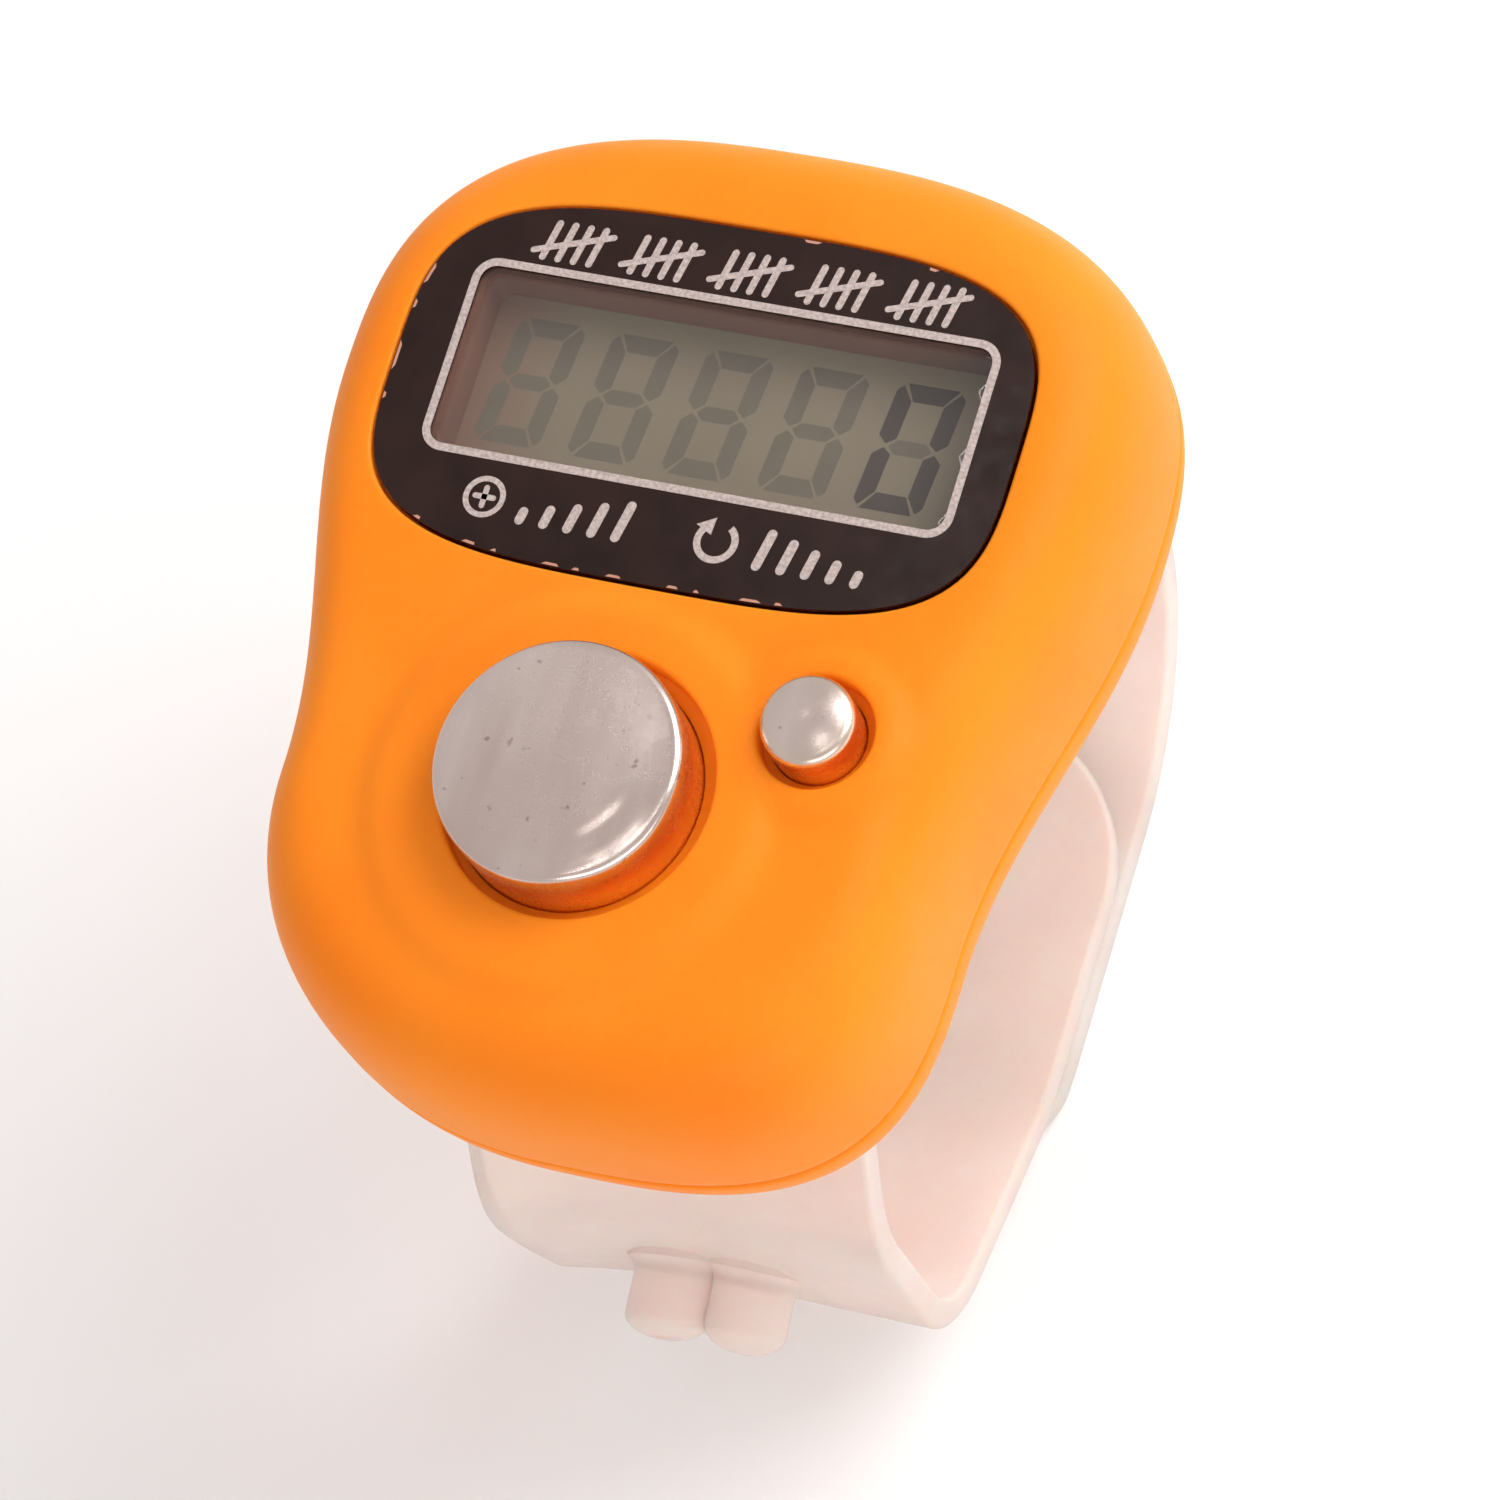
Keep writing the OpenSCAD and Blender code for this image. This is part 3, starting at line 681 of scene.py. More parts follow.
def build_marks():
    """Generic printed marks: tally groups above the window, a plus and a return arrow below it."""
    s = Surface()
    low, high = FILM_HIGH.z - 0.005, FILM_HIGH.z + 0.012
    over = high + 0.006
    slant = 0.2

    def stroke(x, y, height, width):
        prism(s, bar((x, y), (x + slant * height, y + height), width), low, high)

    row_x, row_y, row_h, pitch, group_pitch = -8.0, 12.18, 1.42, 0.62, 3.52
    for group in range(5):
        x = row_x + group * group_pitch
        for k in range(4):
            stroke(x + k * pitch, row_y, row_h, STROKE)
        strike = bar((x - 0.42, row_y + 0.22), (x + 2.52, row_y + row_h - 0.22), STROKE * 0.9)
        prism(s, strike, high, over)

    icon_r, arm, icon_w = 0.72, 0.36, STROKE * 0.8
    (plus_x, plus_y), back = (-7.2, 2.5), (2.0, 2.4)
    arc_strip(s, (plus_x, plus_y), icon_r, icon_w, 0, 360, low, high)
    for dx, dy in ((arm, 0), (0, arm)):
        prism(s, bar((plus_x - dx, plus_y - dy), (plus_x + dx, plus_y + dy), icon_w), low, high)
    tail, turn = 130, 285
    arc_strip(s, back, icon_r, STROKE, tail, tail + turn, low, high)
    tip_x, tip_y = arc(back, icon_r, tail, tail, 1)[0]
    head = ((-0.45, -0.02), (0.2, -0.34), (0.24, 0.36))
    prism(s, [(tip_x + dx, tip_y + dy) for dx, dy in head], high, over)

    bars, bar_pitch, bar_w = 5, 0.95, STROKE * 1.35
    shortest, growth = 0.35, 0.24
    for k in range(bars):
        stroke(-5.6 + k * bar_pitch, 1.85, shortest + growth * k, bar_w)
        stroke(3.75 + k * bar_pitch, 1.75, shortest + growth * (bars - 1 - k), bar_w)
    return s.build("label_marks", 30)


def build_border():
    """The thin printed line round the window."""
    s = Surface()
    low, high = FILM_LOW.z, FILM_HIGH.z + 0.02
    outer, inner = window_outline(0.34), window_outline(0.03)
    s.stack([(inner, low), (outer, low), (outer, high), (inner, high)], closed=True)
    return s.build("label_border", 30)


def build_shade_sleeve():
    """A dark sleeve inside the window's well, with a thin flange under the panel: painted shade laid over
    the well's orange walls.
    """
    s = Surface()
    low, high = GLASS_HIGH.z + 0.02, LENS_LOW.z - 0.004
    step = LENS_LOW.z - 0.018
    wide, outer, inner = window_outline(0.9), window_outline(-0.005), window_outline(-0.06)
    levels = [(inner, low), (outer, low), (outer, step), (wide, step), (wide, high), (inner, high)]
    s.stack(levels, closed=True)
    return s.build("well_shade_sleeve", 30)


# Pale dashes along the label's edge: where each starts and how long it is, in points of an outline whose
# point count is set just below
DASH_POINTS = 900
EDGE_DASHES = (
    (624, 12), (645, 5), (668, 16), (696, 4), (772, 4), (802, 7), (818, 3), (846, 9),
    (862, 4), (880, 8), (12, 6), (26, 3), (50, 11), (68, 4), (352, 5), (415, 9),
)


def build_edge_dashes():
    """Thin pale dashes along the label's edge."""
    s = Surface()
    outline, inner = label_outline(-0.03, DASH_POINTS), label_outline(-0.13, DASH_POINTS)
    low, high = FILM_HIGH.z - 0.01, FILM_HIGH.z + 0.008
    for start, length in EDGE_DASHES:
        index = [(start + k) % DASH_POINTS for k in range(length + 1)]
        bites = [max(0.05, min(1.0, 2.2 * sin(pi * k / length))) for k in range(length + 1)]
        near = [outline[i] + (inner[i] - outline[i]) * bite for i, bite in zip(index, bites)]
        ribbon(s, outline[index], near, low, high)
    return s.build("label_edge_dashes", 30)


# The display's digits: width, height, stroke and gap, then the first one's corner, the pitch and the slant
DIGIT_W, DIGIT_H, DIGIT_T, DIGIT_GAP = 2.68, 5.1, 0.7, 0.1
DIGIT_X, DIGIT_Y, DIGIT_PITCH, DIGIT_SLANT = -9.5, 5.55, 3.78, 0.088


def segment_lines():
    """The seven segments of one digit, from a to g, with mitred ends and small gaps."""
    w, h, t, g = DIGIT_W, DIGIT_H, DIGIT_T, DIGIT_GAP
    m, half = h / 2, t / 2
    nick = 0.32 * t

    def upright(x, inward, end, middle):
        """A vertical stroke: a mitre at the digit's end and a point at its middle."""
        up = 1 if middle > end else -1
        far = x + inward * t
        return [
            (x, end + up * nick), (x + inward * nick, end), (far, end + up * (t - nick * 0.4)),
            (far, middle - up * (half - g)), (x + inward * half, middle), (x, middle - up * half * 0.9),
        ]

    across = [(nick + g, 0), (w - nick - g, 0), (w - t - g * 0.6, t), (t + g * 0.6, t)]
    upper, lower = (h - g * 1.1, m + g * 0.75), (g * 1.1, m - g * 0.75)
    return [
        [(x, h - y) for x, y in across],
        upright(w, -1, *upper),
        upright(w, -1, *lower),
        across,
        upright(0, 1, *lower),
        upright(0, 1, *upper),
        [(half + g * 1.5, m), (t + g, m + half * 0.85), (w - t - g, m + half * 0.85),
         (w - half - g * 1.5, m), (w - t - g, m - half * 0.85), (t + g, m - half * 0.85)],
    ]


def build_segments(name, wanted, low, high):
    """Display segments. wanted(digit, segment) says which ones are in this piece."""
    s = Surface()
    for digit in range(5):
        corner_x = DIGIT_X + digit * DIGIT_PITCH
        for k, line in enumerate(segment_lines()):
            if wanted(digit, k):
                prism(s, [(corner_x + x + y * DIGIT_SLANT, DIGIT_Y + y) for x, y in line], low, high)
    return s.build(name, 30)


# ---- strap
def shoulder_path(reach, radius, z):
    """Centre line from a pivot on the +Y side, down round the shoulder to the straight side."""
    centre = (reach - radius, z)
    r = radius - STRAP_T / 2
    dy, dz = PIVOT_Y - centre[0], PIVOT_Z - centre[1]
    leave = degrees(atan2(dz, dy) - acos(r / hypot(dy, dz)))
    return [(PIVOT_Y, PIVOT_Z)] + arc(centre, r, leave, 0, 40)


def outer_path():
    """Centre line of the outer half in side view, from its barrel to its flat tip."""
    grow = STRAP_T + STRAP_GAP
    path = shoulder_path(STRAP_REACH + grow, SHOULDER_R + grow, SHOULDER_Z)
    corner_r = STRAP_REACH - CORNER_Y + grow - STRAP_T / 2
    path += arc((CORNER_Y, CORNER_Z), corner_r, 0, -90, 60)
    return path + [(-7.0, CORNER_Z - corner_r)]


def inner_path():
    """Centre line of the inner half in side view, drawn with its root on the +Y side."""
    half_t = STRAP_T / 2
    path = shoulder_path(LOWER_REACH, LOWER_SHOULDER_R, LOWER_SHOULDER_Z)
    centre = (LOWER_REACH - LOWER_CORNER_R, LOWER_CORNER_Z)
    path += arc(centre, LOWER_CORNER_R - half_t, 0, LOWER_SLOPE - 90, 30)
    corner_r = STRAP_REACH - CORNER_Y - half_t
    flat_z = CORNER_Z - corner_r
    slope = radians(LOWER_SLOPE)
    bend_r = 12.0
    bend_y = path[-1][0] - (path[-1][1] - flat_z) / tan(slope)
    path += arc((bend_y - bend_r * tan(slope / 2), flat_z + bend_r), bend_r, LOWER_SLOPE - 90, -90, 12)
    return path + arc((-CORNER_Y, CORNER_Z), corner_r, -90, -114, 16)


def build_band(name, path, side, tip_r, thin=1.0):
    """A soft band with rounded edges along a path.

    Its tip is rounded in plan and thins to a share of its depth. side is 1 towards +Y and -1 towards -Y.
    """
    s = Surface()
    length = sum(dist(a, b) for a, b in zip(path, path[1:]))
    line = resample(path, int(length / 0.4), closed=False)
    step = np.gradient(line, axis=0)
    tangent = step / np.linalg.norm(step, axis=1)[:, None]
    normal = np.column_stack([tangent[:, 1], -tangent[:, 0]])
    left = length - np.linspace(0, length, len(line))
    half_w, half_t, corner = STRAP_W / 2, STRAP_T / 2, 0.25
    least_w, least_t, thin_length = 0.45, 0.28, 5.0
    splits = 18

    def section(p, n, w, t, r):
        """One ring across the band, with rounded corners and points along its flat sides."""
        points = []
        for sx, sn, start in ((1, -1, -90), (1, 1, 0), (-1, 1, 90), (-1, -1, 180)):
            for i in range(6):
                a = radians(start + 18 * i)
                across = sx * (w - r) + r * cos(a)
                depth = sn * (t - r) + r * sin(a)
                points.append((across, side * (p[0] + n[0] * depth), p[1] + n[1] * depth))
            if sx == sn:
                y, z = side * (p[0] + n[0] * sn * t), p[1] + n[1] * sn * t
                points += [(sx * (w - r) * (1 - 2 * k / splits), y, z) for k in range(1, splits)]
        return s.ring(points)

    rings = []
    for p, n, d in zip(line, normal, left):
        w = half_w
        if d < tip_r:
            w = half_w - tip_r + sqrt(max(0.0, tip_r**2 - (tip_r - d) ** 2))
        t = half_t * (thin + (1 - thin) * smooth_step(0.0, thin_length, d))
        p = p + n * (half_t - t)
        t = max(least_t, t if d > corner else t - corner + sqrt(corner**2 - (corner - d) ** 2))
        rings.append(section(p, n, max(w, least_w), t, min(corner, t * 0.9)))
    s.loft(rings)
    s.cap(rings[0])
    s.cap(rings[-1])
    return s.build(name, 60)


def turned(name, profile, matrix, count=64):
    """A lathe solid about Z, moved by a matrix in millimetres."""
    piece = lathe(name, (0, 0), profile, count)
    shift = matrix.copy()
    shift.translation *= MM
    piece.data.transform(shift)
    return piece


def barrel(side):
    """The round root of a strap half with its stub axles."""
    r, stub_r, bevel, stub_bevel = 1.2, 0.8, 0.15, 0.1
    half = STRAP_W / 2
    reach = half + 1.7
    end = [
        (0, reach), (stub_r - stub_bevel, reach), (stub_r, reach - stub_bevel), (stub_r, half + 0.02),
        (r - bevel, half), (r, half - bevel),
    ]
    matrix = Matrix.Translation((0, side * PIVOT_Y, PIVOT_Z)) @ Matrix.Rotation(pi / 2, 4, "Y")
    return turned("barrel", [(x, -z) for x, z in end] + end[::-1], matrix)


# The two pegs: half their distance, their shift to the left, height, radius, length and tilt
PEG_X, PEG_SHIFT, PEG_Z, PEG_R, PEG_L, PEG_TILT = 1.6, -0.65, 10.75, 1.65, 3.3, 13.0


def bow(piece):
    """Bows the left side of the soft strap outward between its root and its back."""
    start_x, span, out_y, out_x = 1, 8.8, 1.72, 0.49
    for vertex in piece.data.vertices:
        x, y, z = vertex.co / MM
        if x > start_x or y > 0:
            continue
        reach = ((start_x - x) / span) ** 2.3
        level = smooth_step(-0.5, 17.8, z) * (1 - smooth_step(21.0, 27.5, z))
        vertex.co.y -= out_y * reach * level * MM
        vertex.co.x -= out_x * reach * level * MM


def build_inner_strap():
    piece = build_band("strap_inner", inner_path(), -1, STRAP_W / 2 - 0.6)
    piece = combine(piece, barrel(-1), "UNION")
    dome, steps = 1.0, 10
    profile = [
        (0, -0.42), (PEG_R + 0.45, -0.42), (PEG_R + 0.4, 0.05), (PEG_R + 0.18, 0.25), (PEG_R + 0.05, 0.5),
        (PEG_R, 0.8), (PEG_R, PEG_L - dome),
    ]
    for i in range(1, steps):
        a = radians(9 * i)
        profile.append((PEG_R * cos(a), PEG_L - dome + dome * sin(a)))
    profile.append((0, PEG_L))
    for side in (-1, 1):
        piece = combine(piece, turned("peg", profile, peg_place(side)), "UNION")
    bow(piece)
    return piece


def peg_place(side):
    """Where a peg stands on the inner half, with its axis along the matrix's Z."""
    matrix = Matrix.Translation((side * PEG_X + PEG_SHIFT, -LOWER_REACH + 0.2, PEG_Z))
    return matrix @ Matrix.Rotation(radians(90 + PEG_TILT), 4, "X")


def build_gate_mark():
    """A small scar at the tip of one peg, where the plastic entered its mould."""
    spot = peg_place(-1) @ Matrix.Translation((0.05, 0.35, PEG_L - 0.11))
    return turned("gate_mark", [(0, 0), (0.4, 0), (0.36, 0.06), (0.15, 0.09), (0, 0.08)], spot, 32)


def build_outer_strap():
    piece = build_band("strap_outer", outer_path(), 1, 3.5, 0.6)
    piece = combine(piece, barrel(1), "UNION")
    hole_x, hole_r = 1.72, 1.65
    for y in (-3.6, 1.0, 5.6):
        for side in (-1, 1):
            tool = lathe("hole", (side * hole_x, y), [(0, -1), (hole_r, -1), (hole_r, 2.4), (0, 2.4)], 64)
            piece = combine(piece, tool, "DIFFERENCE")
    return piece


# ---- materials
class Finish:
    """A Principled material with helpers for procedural colour, roughness and bump."""

    def __init__(self, name, colour, roughness, **sockets):
        self.material = bpy.data.materials.new(name)
        self.material.use_nodes = True
        self.tree = self.material.node_tree
        self.shader = self.tree.nodes["Principled BSDF"]
        self.shader.inputs["Base Color"].default_value = (*colour, 1)
        self.shader.inputs["Roughness"].default_value = roughness
        for key, value in sockets.items():
            self.shader.inputs[key.replace("_", " ")].default_value = value
        self.place = self.node("ShaderNodeTexCoord", {}).outputs["Object"]
        self.bump_normal = None

    def node(self, kind, sockets, **props):
        """A node; sockets gives each of its inputs a value, or the output that feeds it."""
        made = self.tree.nodes.new(kind)
        for key, value in props.items():
            setattr(made, key, value)
        for key, value in sockets.items():
            if isinstance(value, bpy.types.NodeSocket):
                self.tree.links.new(value, made.inputs[key])
            else:
                made.inputs[key].default_value = value
        return made

    def feed(self, socket, value):
        self.tree.links.new(value, self.shader.inputs[socket])

    def noise(self, scale, detail=3.0, roughness=0.55, stretch=(1, 1, 1)):
        """Noise over the surface; scale is in features a metre."""
        mapping = self.node("ShaderNodeMapping", {"Vector": self.place, "Scale": stretch})
        texture = self.node("ShaderNodeTexNoise", {
            "Vector": mapping.outputs["Vector"], "Scale": scale, "Detail": detail, "Roughness": roughness,
        })
        return texture.outputs["Fac"]

    def ramp(self, value, *stops):
        """Colours over a value; each stop is a place from 0 to 1 and a colour."""
        ramp = self.node("ShaderNodeValToRGB", {"Fac": value})
        for element, (at, colour) in zip(ramp.color_ramp.elements, stops):
            element.position = at
            element.color = (*colour, 1)
        return ramp.outputs["Color"]

    def mottled(self, scale, detail, low, high):
        """A colour that wanders between two values."""
        return self.ramp(self.noise(scale, detail), (0.35, low), (0.65, high))

    def fade(self, axis, start, end, share):
        """A share that falls smoothly to nothing between two places along an axis."""
        axes = self.node("ShaderNodeSeparateXYZ", {"Vector": self.place})
        fall = self.node("ShaderNodeMapRange", {
            "Value": axes.outputs[axis], "From Min": start, "From Max": end, "To Min": share, "To Max": 0.0,
        }, interpolation_type="SMOOTHSTEP")
        return fall.outputs["Result"]

    def mix(self, a, b, factor, blend_type="MIX"):
        """Two colours mixed by a factor."""
        mixed = self.node(
            "ShaderNodeMix", {"Factor": factor, "A": a, "B": b}, data_type="RGBA", blend_type=blend_type
        )
        return mixed.outputs["Result"]

    def rough(self, low, high, *noise):
        """Roughness that wanders between two values; noise holds the arguments of the noise."""
        span = self.node("ShaderNodeMapRange", {"Value": self.noise(*noise), "To Min": low, "To Max": high})
        self.feed("Roughness", span.outputs["Result"])

    def grain(self, height_mm, strength, *noise):
        """A bump made of noise; noise holds the arguments of the noise."""
        return self.bump(self.noise(*noise), height_mm, strength)

    def bump(self, value, height_mm, strength):
        """Adds a bump on top of those before it."""
        bump = self.node("ShaderNodeBump", {
            "Height": value, "Distance": height_mm * MM, "Strength": strength,
        })
        if self.bump_normal is not None:
            self.tree.links.new(self.bump_normal, bump.inputs["Normal"])
        self.bump_normal = bump.outputs["Normal"]
        self.feed("Normal", self.bump_normal)
        return self


def case_finish():
    f = Finish("orange_plastic", (1.0, 0.25, 0.01), 0.45, Subsurface_Weight=0.6, Subsurface_Scale=0.0008,
               Specular_IOR_Level=0.15)
    f.shader.inputs["Subsurface Radius"].default_value = (1.0, 0.35, 0.08)
    f.feed("Base Color", f.mottled(90, 2, (1.0, 0.235, 0.007), (1.0, 0.27, 0.013)))
    f.rough(0.42, 0.56, 900, 4)
    f.grain(0.02, 0.35, 220, 2)
    return f.grain(0.0025, 0.5, 5200, 3).material


def label_finish():
    f = Finish("label_ink", (0.02, 0.0085, 0.0068), 0.16, Specular_IOR_Level=0.2)
    f.feed("Base Color", f.mottled(400, 3, (0.017, 0.007, 0.0055), (0.025, 0.0105, 0.008)))
    f.rough(0.08, 0.26, 1500, 5)
    return f.grain(0.03, 0.3, 160, 2).material


def silver_finish():
    f = Finish("silver_ink", (0.45, 0.37, 0.35), 0.45, Specular_IOR_Level=0.3)
    f.feed("Base Color", f.mottled(7000, 3, (0.36, 0.29, 0.27), (0.56, 0.46, 0.43)))
    return f.grain(0.004, 0.6, 9000, 3).material


def clear_finish(name, tint, roughness):
    """Clear plastic that lets light from the lamps through to what is behind it."""
    f = Finish(name, tint, roughness, IOR=1.45, Transmission_Weight=1.0)
    f.rough(roughness * 0.6, roughness * 1.6, 700, 4)
    through = f.node("ShaderNodeBsdfTransparent", {"Color": (*tint, 1)})
    rays = f.node("ShaderNodeLightPath", {})
    mix = f.node("ShaderNodeMixShader", {
        "Fac": rays.outputs["Is Shadow Ray"], 1: f.shader.outputs["BSDF"], 2: through.outputs["BSDF"],
    })
    f.tree.links.new(mix.outputs["Shader"], f.tree.nodes["Material Output"].inputs["Surface"])
    return f.material


def display_finish():
    """The display's glass, with a painted shade and warm reflection of the well's wall at its left end."""
    f = Finish("display_glass", (0.21, 0.175, 0.128), 0.35, Specular_IOR_Level=0.25)
    glass = f.mottled(120, 2, (0.19, 0.157, 0.112), (0.218, 0.182, 0.132))
    # Painted shade and reflection: the glass turns darker and redder towards the left wall of the well.
    wall_shade_tint = f.fade("X", -0.0102, -0.0062, 0.85)
    f.feed("Base Color", f.mix(glass, (0.19, 0.105, 0.078, 1), wall_shade_tint))
    f.rough(0.3, 0.4, 2500, 3)
    return f.grain(0.001, 0.2, 3000, 2).material


def segment_finish(name, colour):
    """A thin dark layer: display segments, the sleeve of painted shade in the well, and the pale dashes
    along the label's edge.
    """
    f = Finish(name, colour, 0.35, Specular_IOR_Level=0.25)
    f.feed("Base Color", f.mottled(900, 2, tuple(c * 0.93 for c in colour), colour))
    return f.grain(0.001, 0.4, 8000, 2).material


def chrome_finish():
    """Plated plastic with a painted streak of reflected studio, small pits, fine scratches, and a painted
    reflection of the case's orange in its foot.
    """
    f = Finish("plated_plastic", (0.78, 0.68, 0.65), 0.12, Metallic=1.0)
    # Painted reflection: darker and lighter streaks in the plating for the studio's reflection.
    reflection_streak = f.ramp(
        f.noise(260, 3, 0.5, (1.0, 0.2, 1.0)), (0.38, (0.66, 0.54, 0.49)), (0.62, (0.84, 0.72, 0.67))
    )
    pits = f.ramp(f.noise(2100, 2, 0.4), (0.25, (0.62, 0.6, 0.58)), (0.31, (1, 1, 1)))
    both = f.mix(reflection_streak, pits, 1.0, "MULTIPLY")
    # Painted reflection: the foot turns orange for the case's colour reflected in its sides.
    foot_reflection = f.fade("Z", (FACE_Z + 0.5) * MM, (FACE_Z + 1.5) * MM, 1.0)
    f.feed("Base Color", f.mix(both, (0.95, 0.75, 0.42, 1), foot_reflection))
    f.rough(0.1, 0.42, 700, 5, 0.65)
    f.grain(0.04, 0.4, 170, 2, 0.5, (1.0, 0.4, 1.0))
    f.grain(0.004, 0.5, 2600, 3, 0.6, (1.0, 0.12, 1.0))
    return f.grain(0.004, 0.6, 3400, 4).material


def strap_finish():
    f = Finish("soft_translucent_plastic", (0.93, 0.82, 0.77), 0.34, IOR=1.2, Transmission_Weight=0.5,
               Subsurface_Weight=0.6, Subsurface_Scale=0.0015, Specular_IOR_Level=0.3)
    f.feed("Base Color", f.mottled(260, 3, (0.93, 0.81, 0.76), (0.955, 0.86, 0.81)))
    f.rough(0.25, 0.45, 900, 4)
    f.grain(0.02, 0.4, 350, 2)
    return f.grain(0.003, 0.4, 5000, 3).material


def plain_finish(name, colour, roughness, spread=0.12, grain=3000, height=0.004, **sockets):
    """A mottled colour with a fine grain; spread is the colour's share of change."""
    f = Finish(name, colour, roughness, **sockets)
    low = tuple(c * (1 - spread) for c in colour)
    high = tuple(min(1.0, c * (1 + spread)) for c in colour)
    f.feed("Base Color", f.mottled(600, 3, low, high))
    f.rough(roughness * 0.8, min(1.0, roughness * 1.25), 1500, 3)
    return f.grain(height, 0.5, grain, 3).material


def stripe_finish():
    """The zebra strip: thin dark layers in a pale elastomer."""
    f = Finish("zebra_elastomer", (0.5, 0.3, 0.3), 0.6)
    wave = f.node(
        "ShaderNodeTexWave", {"Vector": f.place, "Scale": 1600, "Distortion": 0.3}, bands_direction="X"
    )
    stripes = f.ramp(wave.outputs["Fac"], (0.45, (0.03, 0.03, 0.03)), (0.55, (0.55, 0.33, 0.32)))
    f.feed("Base Color", stripes)
    return f.bump(wave.outputs["Fac"], 0.01, 0.4).material


def board_finish():
    """Green solder mask with copper tracks showing through it."""
    f = Finish("solder_mask", (0.02, 0.16, 0.05), 0.35)
    cells = f.node("ShaderNodeTexBrick", {
        "Vector": f.place, "Scale": 420, "Color1": (0.02, 0.17, 0.05, 1), "Color2": (0.03, 0.22, 0.07, 1),
        "Mortar": (0.015, 0.11, 0.035, 1),
    })
    f.feed("Base Color", cells.outputs["Color"])
    return f.bump(cells.outputs["Fac"], 0.02, 0.5).material


def paint(piece, material):
    """Gives a piece one material."""
    piece.data.materials.clear()
    piece.data.materials.append(material)


# ---- assembling
def place(piece, material, body, slot, *replaced):
    """Gives a new piece its material and body, and hides the CAD nodes it stands for; slot is not used."""
    paint(piece, material)
    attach(piece, body)
    if replaced:
        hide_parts(*replaced)
    return piece


ORANGE = case_finish()
CHROME = chrome_finish()
STRAP = strap_finish()
SILVER = silver_finish()
GHOST = segment_finish("segment_off", (0.142, 0.12, 0.093))

place(build_case_front(), ORANGE, "case", "case_plastic", "front_shell")
place(build_case_back(), ORANGE, "case", "case_plastic", "back_shell")
place(build_ears(), ORANGE, "case", "case_plastic")
place(build_slab("window_pane", label_outline, LENS_LOW.z, LENS_HIGH.z, 0.06),
      clear_finish("clear_window", (0.96, 0.95, 0.93), 0.012), "case", "window_plastic", "window_lens")
place(build_film("label_film", label_outline(), window_outline(0.02), FILM_LOW.z, FILM_HIGH.z),
      label_finish(), "case", "label_print", "face_label")
place(build_border(), SILVER, "case", "label_print")
place(build_marks(), SILVER, "case", "label_print")
place(build_edge_dashes(), segment_finish("pale_edge_dash", (0.55, 0.27, 0.19)), "case", "label_print")
# The sleeve is painted shade: a dark layer that stands for the shadow inside the window's well.
place(build_shade_sleeve(), segment_finish("well_painted_shade", (0.16, 0.075, 0.055)), "case", "case_plastic")

# The last digit reads 0: its middle segment, and every segment of the other digits, is off
INK = segment_finish("segment_on", (0.062, 0.048, 0.043))
for name, material, lit, rise in (("off", GHOST, False, 0.006), ("on", INK, True, 0.009)):
    low, high = GLASS_HIGH.z - 0.002, GLASS_HIGH.z + rise
    segments = build_segments("display_segments_" + name, lambda d, k: (d == 4 and k < 6) == lit, low, high)
    place(segments, material, "case", "lcd_glass")

place(build_count_cap(), CHROME, "count_button", "button_chrome", "count_button")
place(build_reset_cap(), CHROME, "reset_button", "button_chrome", "reset_button")
RUBBER = plain_finish("dome_silicone", (0.62, 0.6, 0.56), 0.5, Subsurface_Weight=0.3,
                      Subsurface_Scale=0.001)
for name, pos, foot_r, crown_r, joint, travel in (
    ("count_dome", COUNT_POS, 3.4, 2.2, "count_press", 0.8),
    ("reset_dome", RESET_POS, 2.0, 1.25, "reset_press", 0.5),
):
    dome = place(build_dome(name + "_rubber", pos, foot_r, crown_r), RUBBER, "case", "dome_rubber", name)
    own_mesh(dome)

place(build_inner_strap(), STRAP, "lower_strap", "strap_plastic", "lower_strap")
SCAR = plain_finish("gate_scar", (0.85, 0.42, 0.3), 0.5, Subsurface_Weight=0.3, Subsurface_Scale=0.0005)
place(build_gate_mark(), SCAR, "lower_strap", "strap_plastic")
place(build_outer_strap(), STRAP, "upper_strap", "strap_plastic", "upper_strap")

STEEL = plain_finish("zinc_plated_steel", (0.62, 0.61, 0.6), 0.3, 0.08, 6000, 0.003, Metallic=1.0)
CONTACT = plain_finish("contact_strip", (0.83, 0.66, 0.32), 0.28, 0.08, 6000, 0.002, Metallic=1.0)
CARBON = plain_finish("carbon_pill", (0.02, 0.02, 0.02), 0.6)
for node, material in {
    "lcd_front_glass": display_finish(),
    "lcd_rear_glass": plain_finish("rear_glass", (0.2, 0.2, 0.16), 0.15),
    "lcd_reflector": plain_finish("reflector_film", (0.4, 0.4, 0.36), 0.4, Metallic=0.3),
    "lcd_holder": plain_finish("holder_plastic", (0.75, 0.74, 0.7), 0.45),
    "zebra_strip": stripe_finish(),
    "circuit_board": board_finish(),
    "chip_blob": plain_finish("chip_epoxy", (0.012, 0.012, 0.012), 0.2),
    "chip_capacitors": plain_finish("ceramic", (0.42, 0.28, 0.16), 0.5),
    "count_pill": CARBON,
    "reset_pill": CARBON,
    "battery_cell": plain_finish("cell_can", (0.7, 0.69, 0.67), 0.22, 0.06, 8000, 0.002, Metallic=1.0),
    "negative_contact": CONTACT,
    "positive_contact": CONTACT,
    "battery_door": ORANGE,
    "door_screw": STEEL,
    "case_screws": STEEL,
}.items():
    paint(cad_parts[node], material)


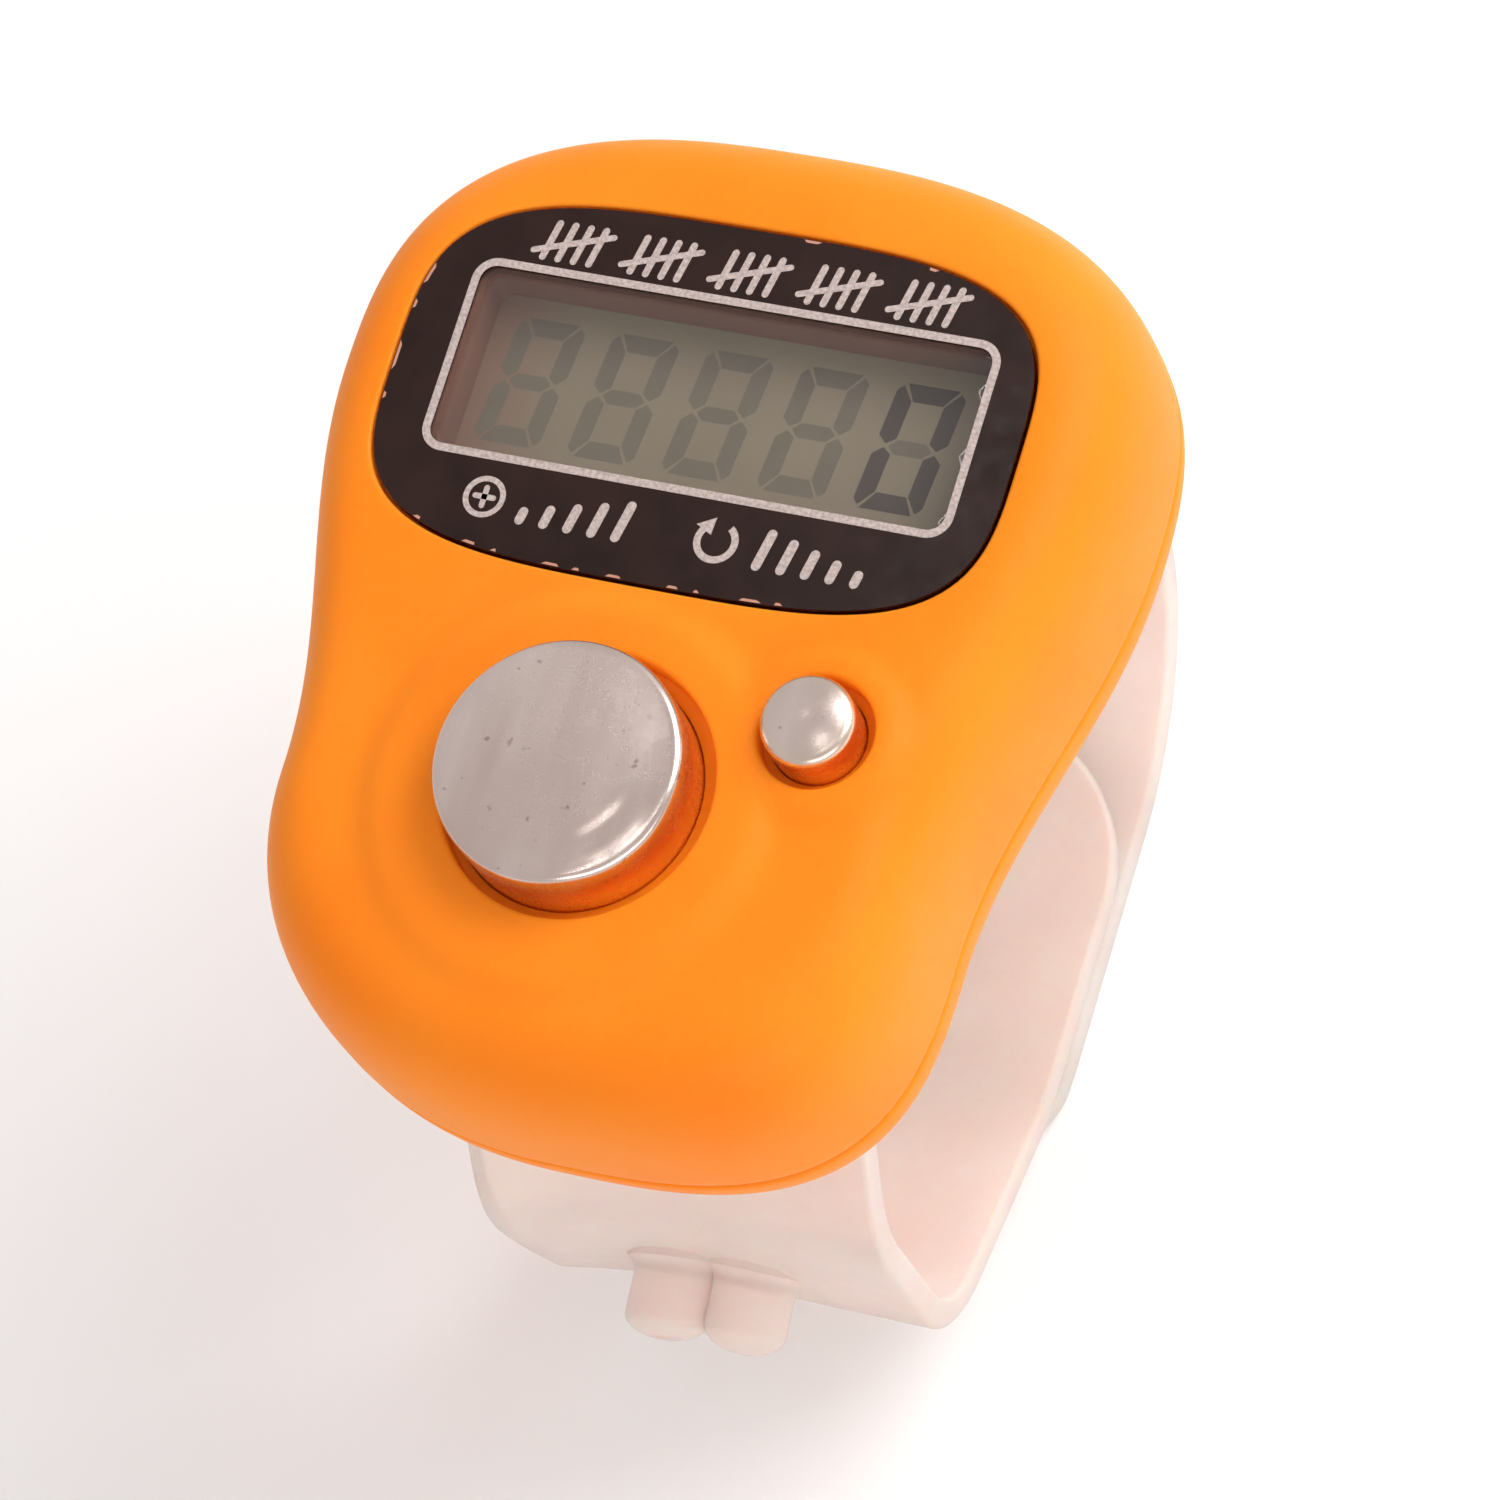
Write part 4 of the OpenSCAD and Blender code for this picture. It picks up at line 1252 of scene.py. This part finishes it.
# ---- stage, lights and camera
def build_floor():
    s = Surface()
    size = 1500.0
    s.cap(s.flat_ring([(-size, -size), (size, -size), (size, size), (-size, size)], 0))
    floor = s.build("floor")
    f = Finish("pale_floor", (0.93, 0.93, 0.93), 0.6)
    f.feed("Base Color", f.mottled(6, 2, (0.925, 0.925, 0.925), (0.945, 0.945, 0.945)))
    paint(floor, f.material)


def build_world():
    world = bpy.data.worlds.new("studio")
    world.use_nodes = True
    background = world.node_tree.nodes["Background"]
    background.inputs["Color"].default_value = (0.92, 0.89, 0.88, 1)
    background.inputs["Strength"].default_value = 0.71
    bpy.context.scene.world = world


def direction(azimuth, elevation):
    """Unit vector towards a place in the studio: azimuth 0 is in front (-Y) and 90 to the right (+X)."""
    az, el = radians(azimuth), radians(elevation)
    return Vector((cos(el) * sin(az), -cos(el) * cos(az), sin(el)))


def area_lamp(name, width, length, power):
    """A rectangular lamp, not yet placed."""
    lamp = bpy.data.lights.new(name, "AREA")
    lamp.shape = "RECTANGLE"
    lamp.size, lamp.size_y = width, length
    lamp.energy = power
    holder = bpy.data.objects.new(name, lamp)
    bpy.context.scene.collection.objects.link(holder)
    return holder


LAMP_AIM = Vector((0, 0, 0.03))


def softbox(name, azimuth, elevation, distance, size, power):
    """An area lamp that faces the object. Distance and size are in metres, and power in watts."""
    holder = area_lamp(name, *size, power)
    way = direction(azimuth, elevation)
    holder.location = way * distance + LAMP_AIM
    holder.rotation_euler = way.to_track_quat("Z", "Y").to_euler()


def placed_by(origin, *axes):
    """A matrix with its origin and its three axes given."""
    return Matrix.Translation(origin) @ Matrix(axes).transposed().to_4x4()


# The camera fitted to the photo: angles in degrees, metres from its aim, focal length and sensor width in
# millimetres, and the aim's offset from the middle of the CAD box in millimetres
CAMERA_AZ, CAMERA_EL, CAMERA_ROLL = 49.3, 63.2, 35.1
CAMERA_DISTANCE, CAMERA_LENS, SENSOR_W = 0.2693, 168.6, 36
CAMERA_AIM = (-1.1, 0.7, 1.6)


def build_camera():
    """Makes the scene's camera, and returns where it stands."""
    az, roll = radians(CAMERA_AZ), radians(CAMERA_ROLL)
    low, high = Vector(cad_bounds[0]), Vector(cad_bounds[1])
    aim = (low + high) / 2 + Vector(CAMERA_AIM) * MM
    back = direction(CAMERA_AZ, CAMERA_EL)
    level = Vector((cos(az), sin(az), 0))
    right = level * cos(roll) - back.cross(level) * sin(roll)
    camera = bpy.data.objects.new("camera", bpy.data.cameras.new("camera"))
    camera.data.lens = CAMERA_LENS
    camera.data.sensor_width = SENSOR_W
    camera.data.clip_start = 0.01
    camera.matrix_world = placed_by(aim + back * CAMERA_DISTANCE, right, back.cross(right), back)
    bpy.context.scene.collection.objects.link(camera)
    bpy.context.scene.camera = camera
    return camera.matrix_world.translation.copy()


def mirror_panel(name, eye, spot, width, length, distance, radiance):
    """A dim panel whose image in the flat label covers a rectangle round a spot, seen from the eye.

    The spot, width and length are in millimetres on the label; the panel stands at a distance in metres.
    """
    image = Vector((eye.x, eye.y, 2 * spot[2] * MM - eye.z))
    spot = Vector(spot) * MM
    way = (spot - image).normalized()
    grow = 1 + distance / (spot - image).length
    width, length = width * MM * grow, length * MM * grow
    holder = area_lamp(name, width, length, radiance * pi * width * length)
    side = Vector((0, 1, 0)).cross(way).normalized()
    holder.matrix_world = placed_by(spot + way * distance, side, way.cross(side), way)


build_floor()
build_world()
softbox("key_light", 134, 38, 0.26, (0.2, 0.2), 0.6)
softbox("top_light", 60, 83, 0.9, (0.16, 0.05), 0.2)
softbox("front_fill", 36, 26, 1.0, (0.9, 0.25), 2.9)
mirror_panel("label_glare", build_camera(), (11.7, 5.0, FILM_HIGH.z), 2.4, 13.0, 0.5, 8.0)
bpy.context.scene.view_settings.view_transform = "Standard"
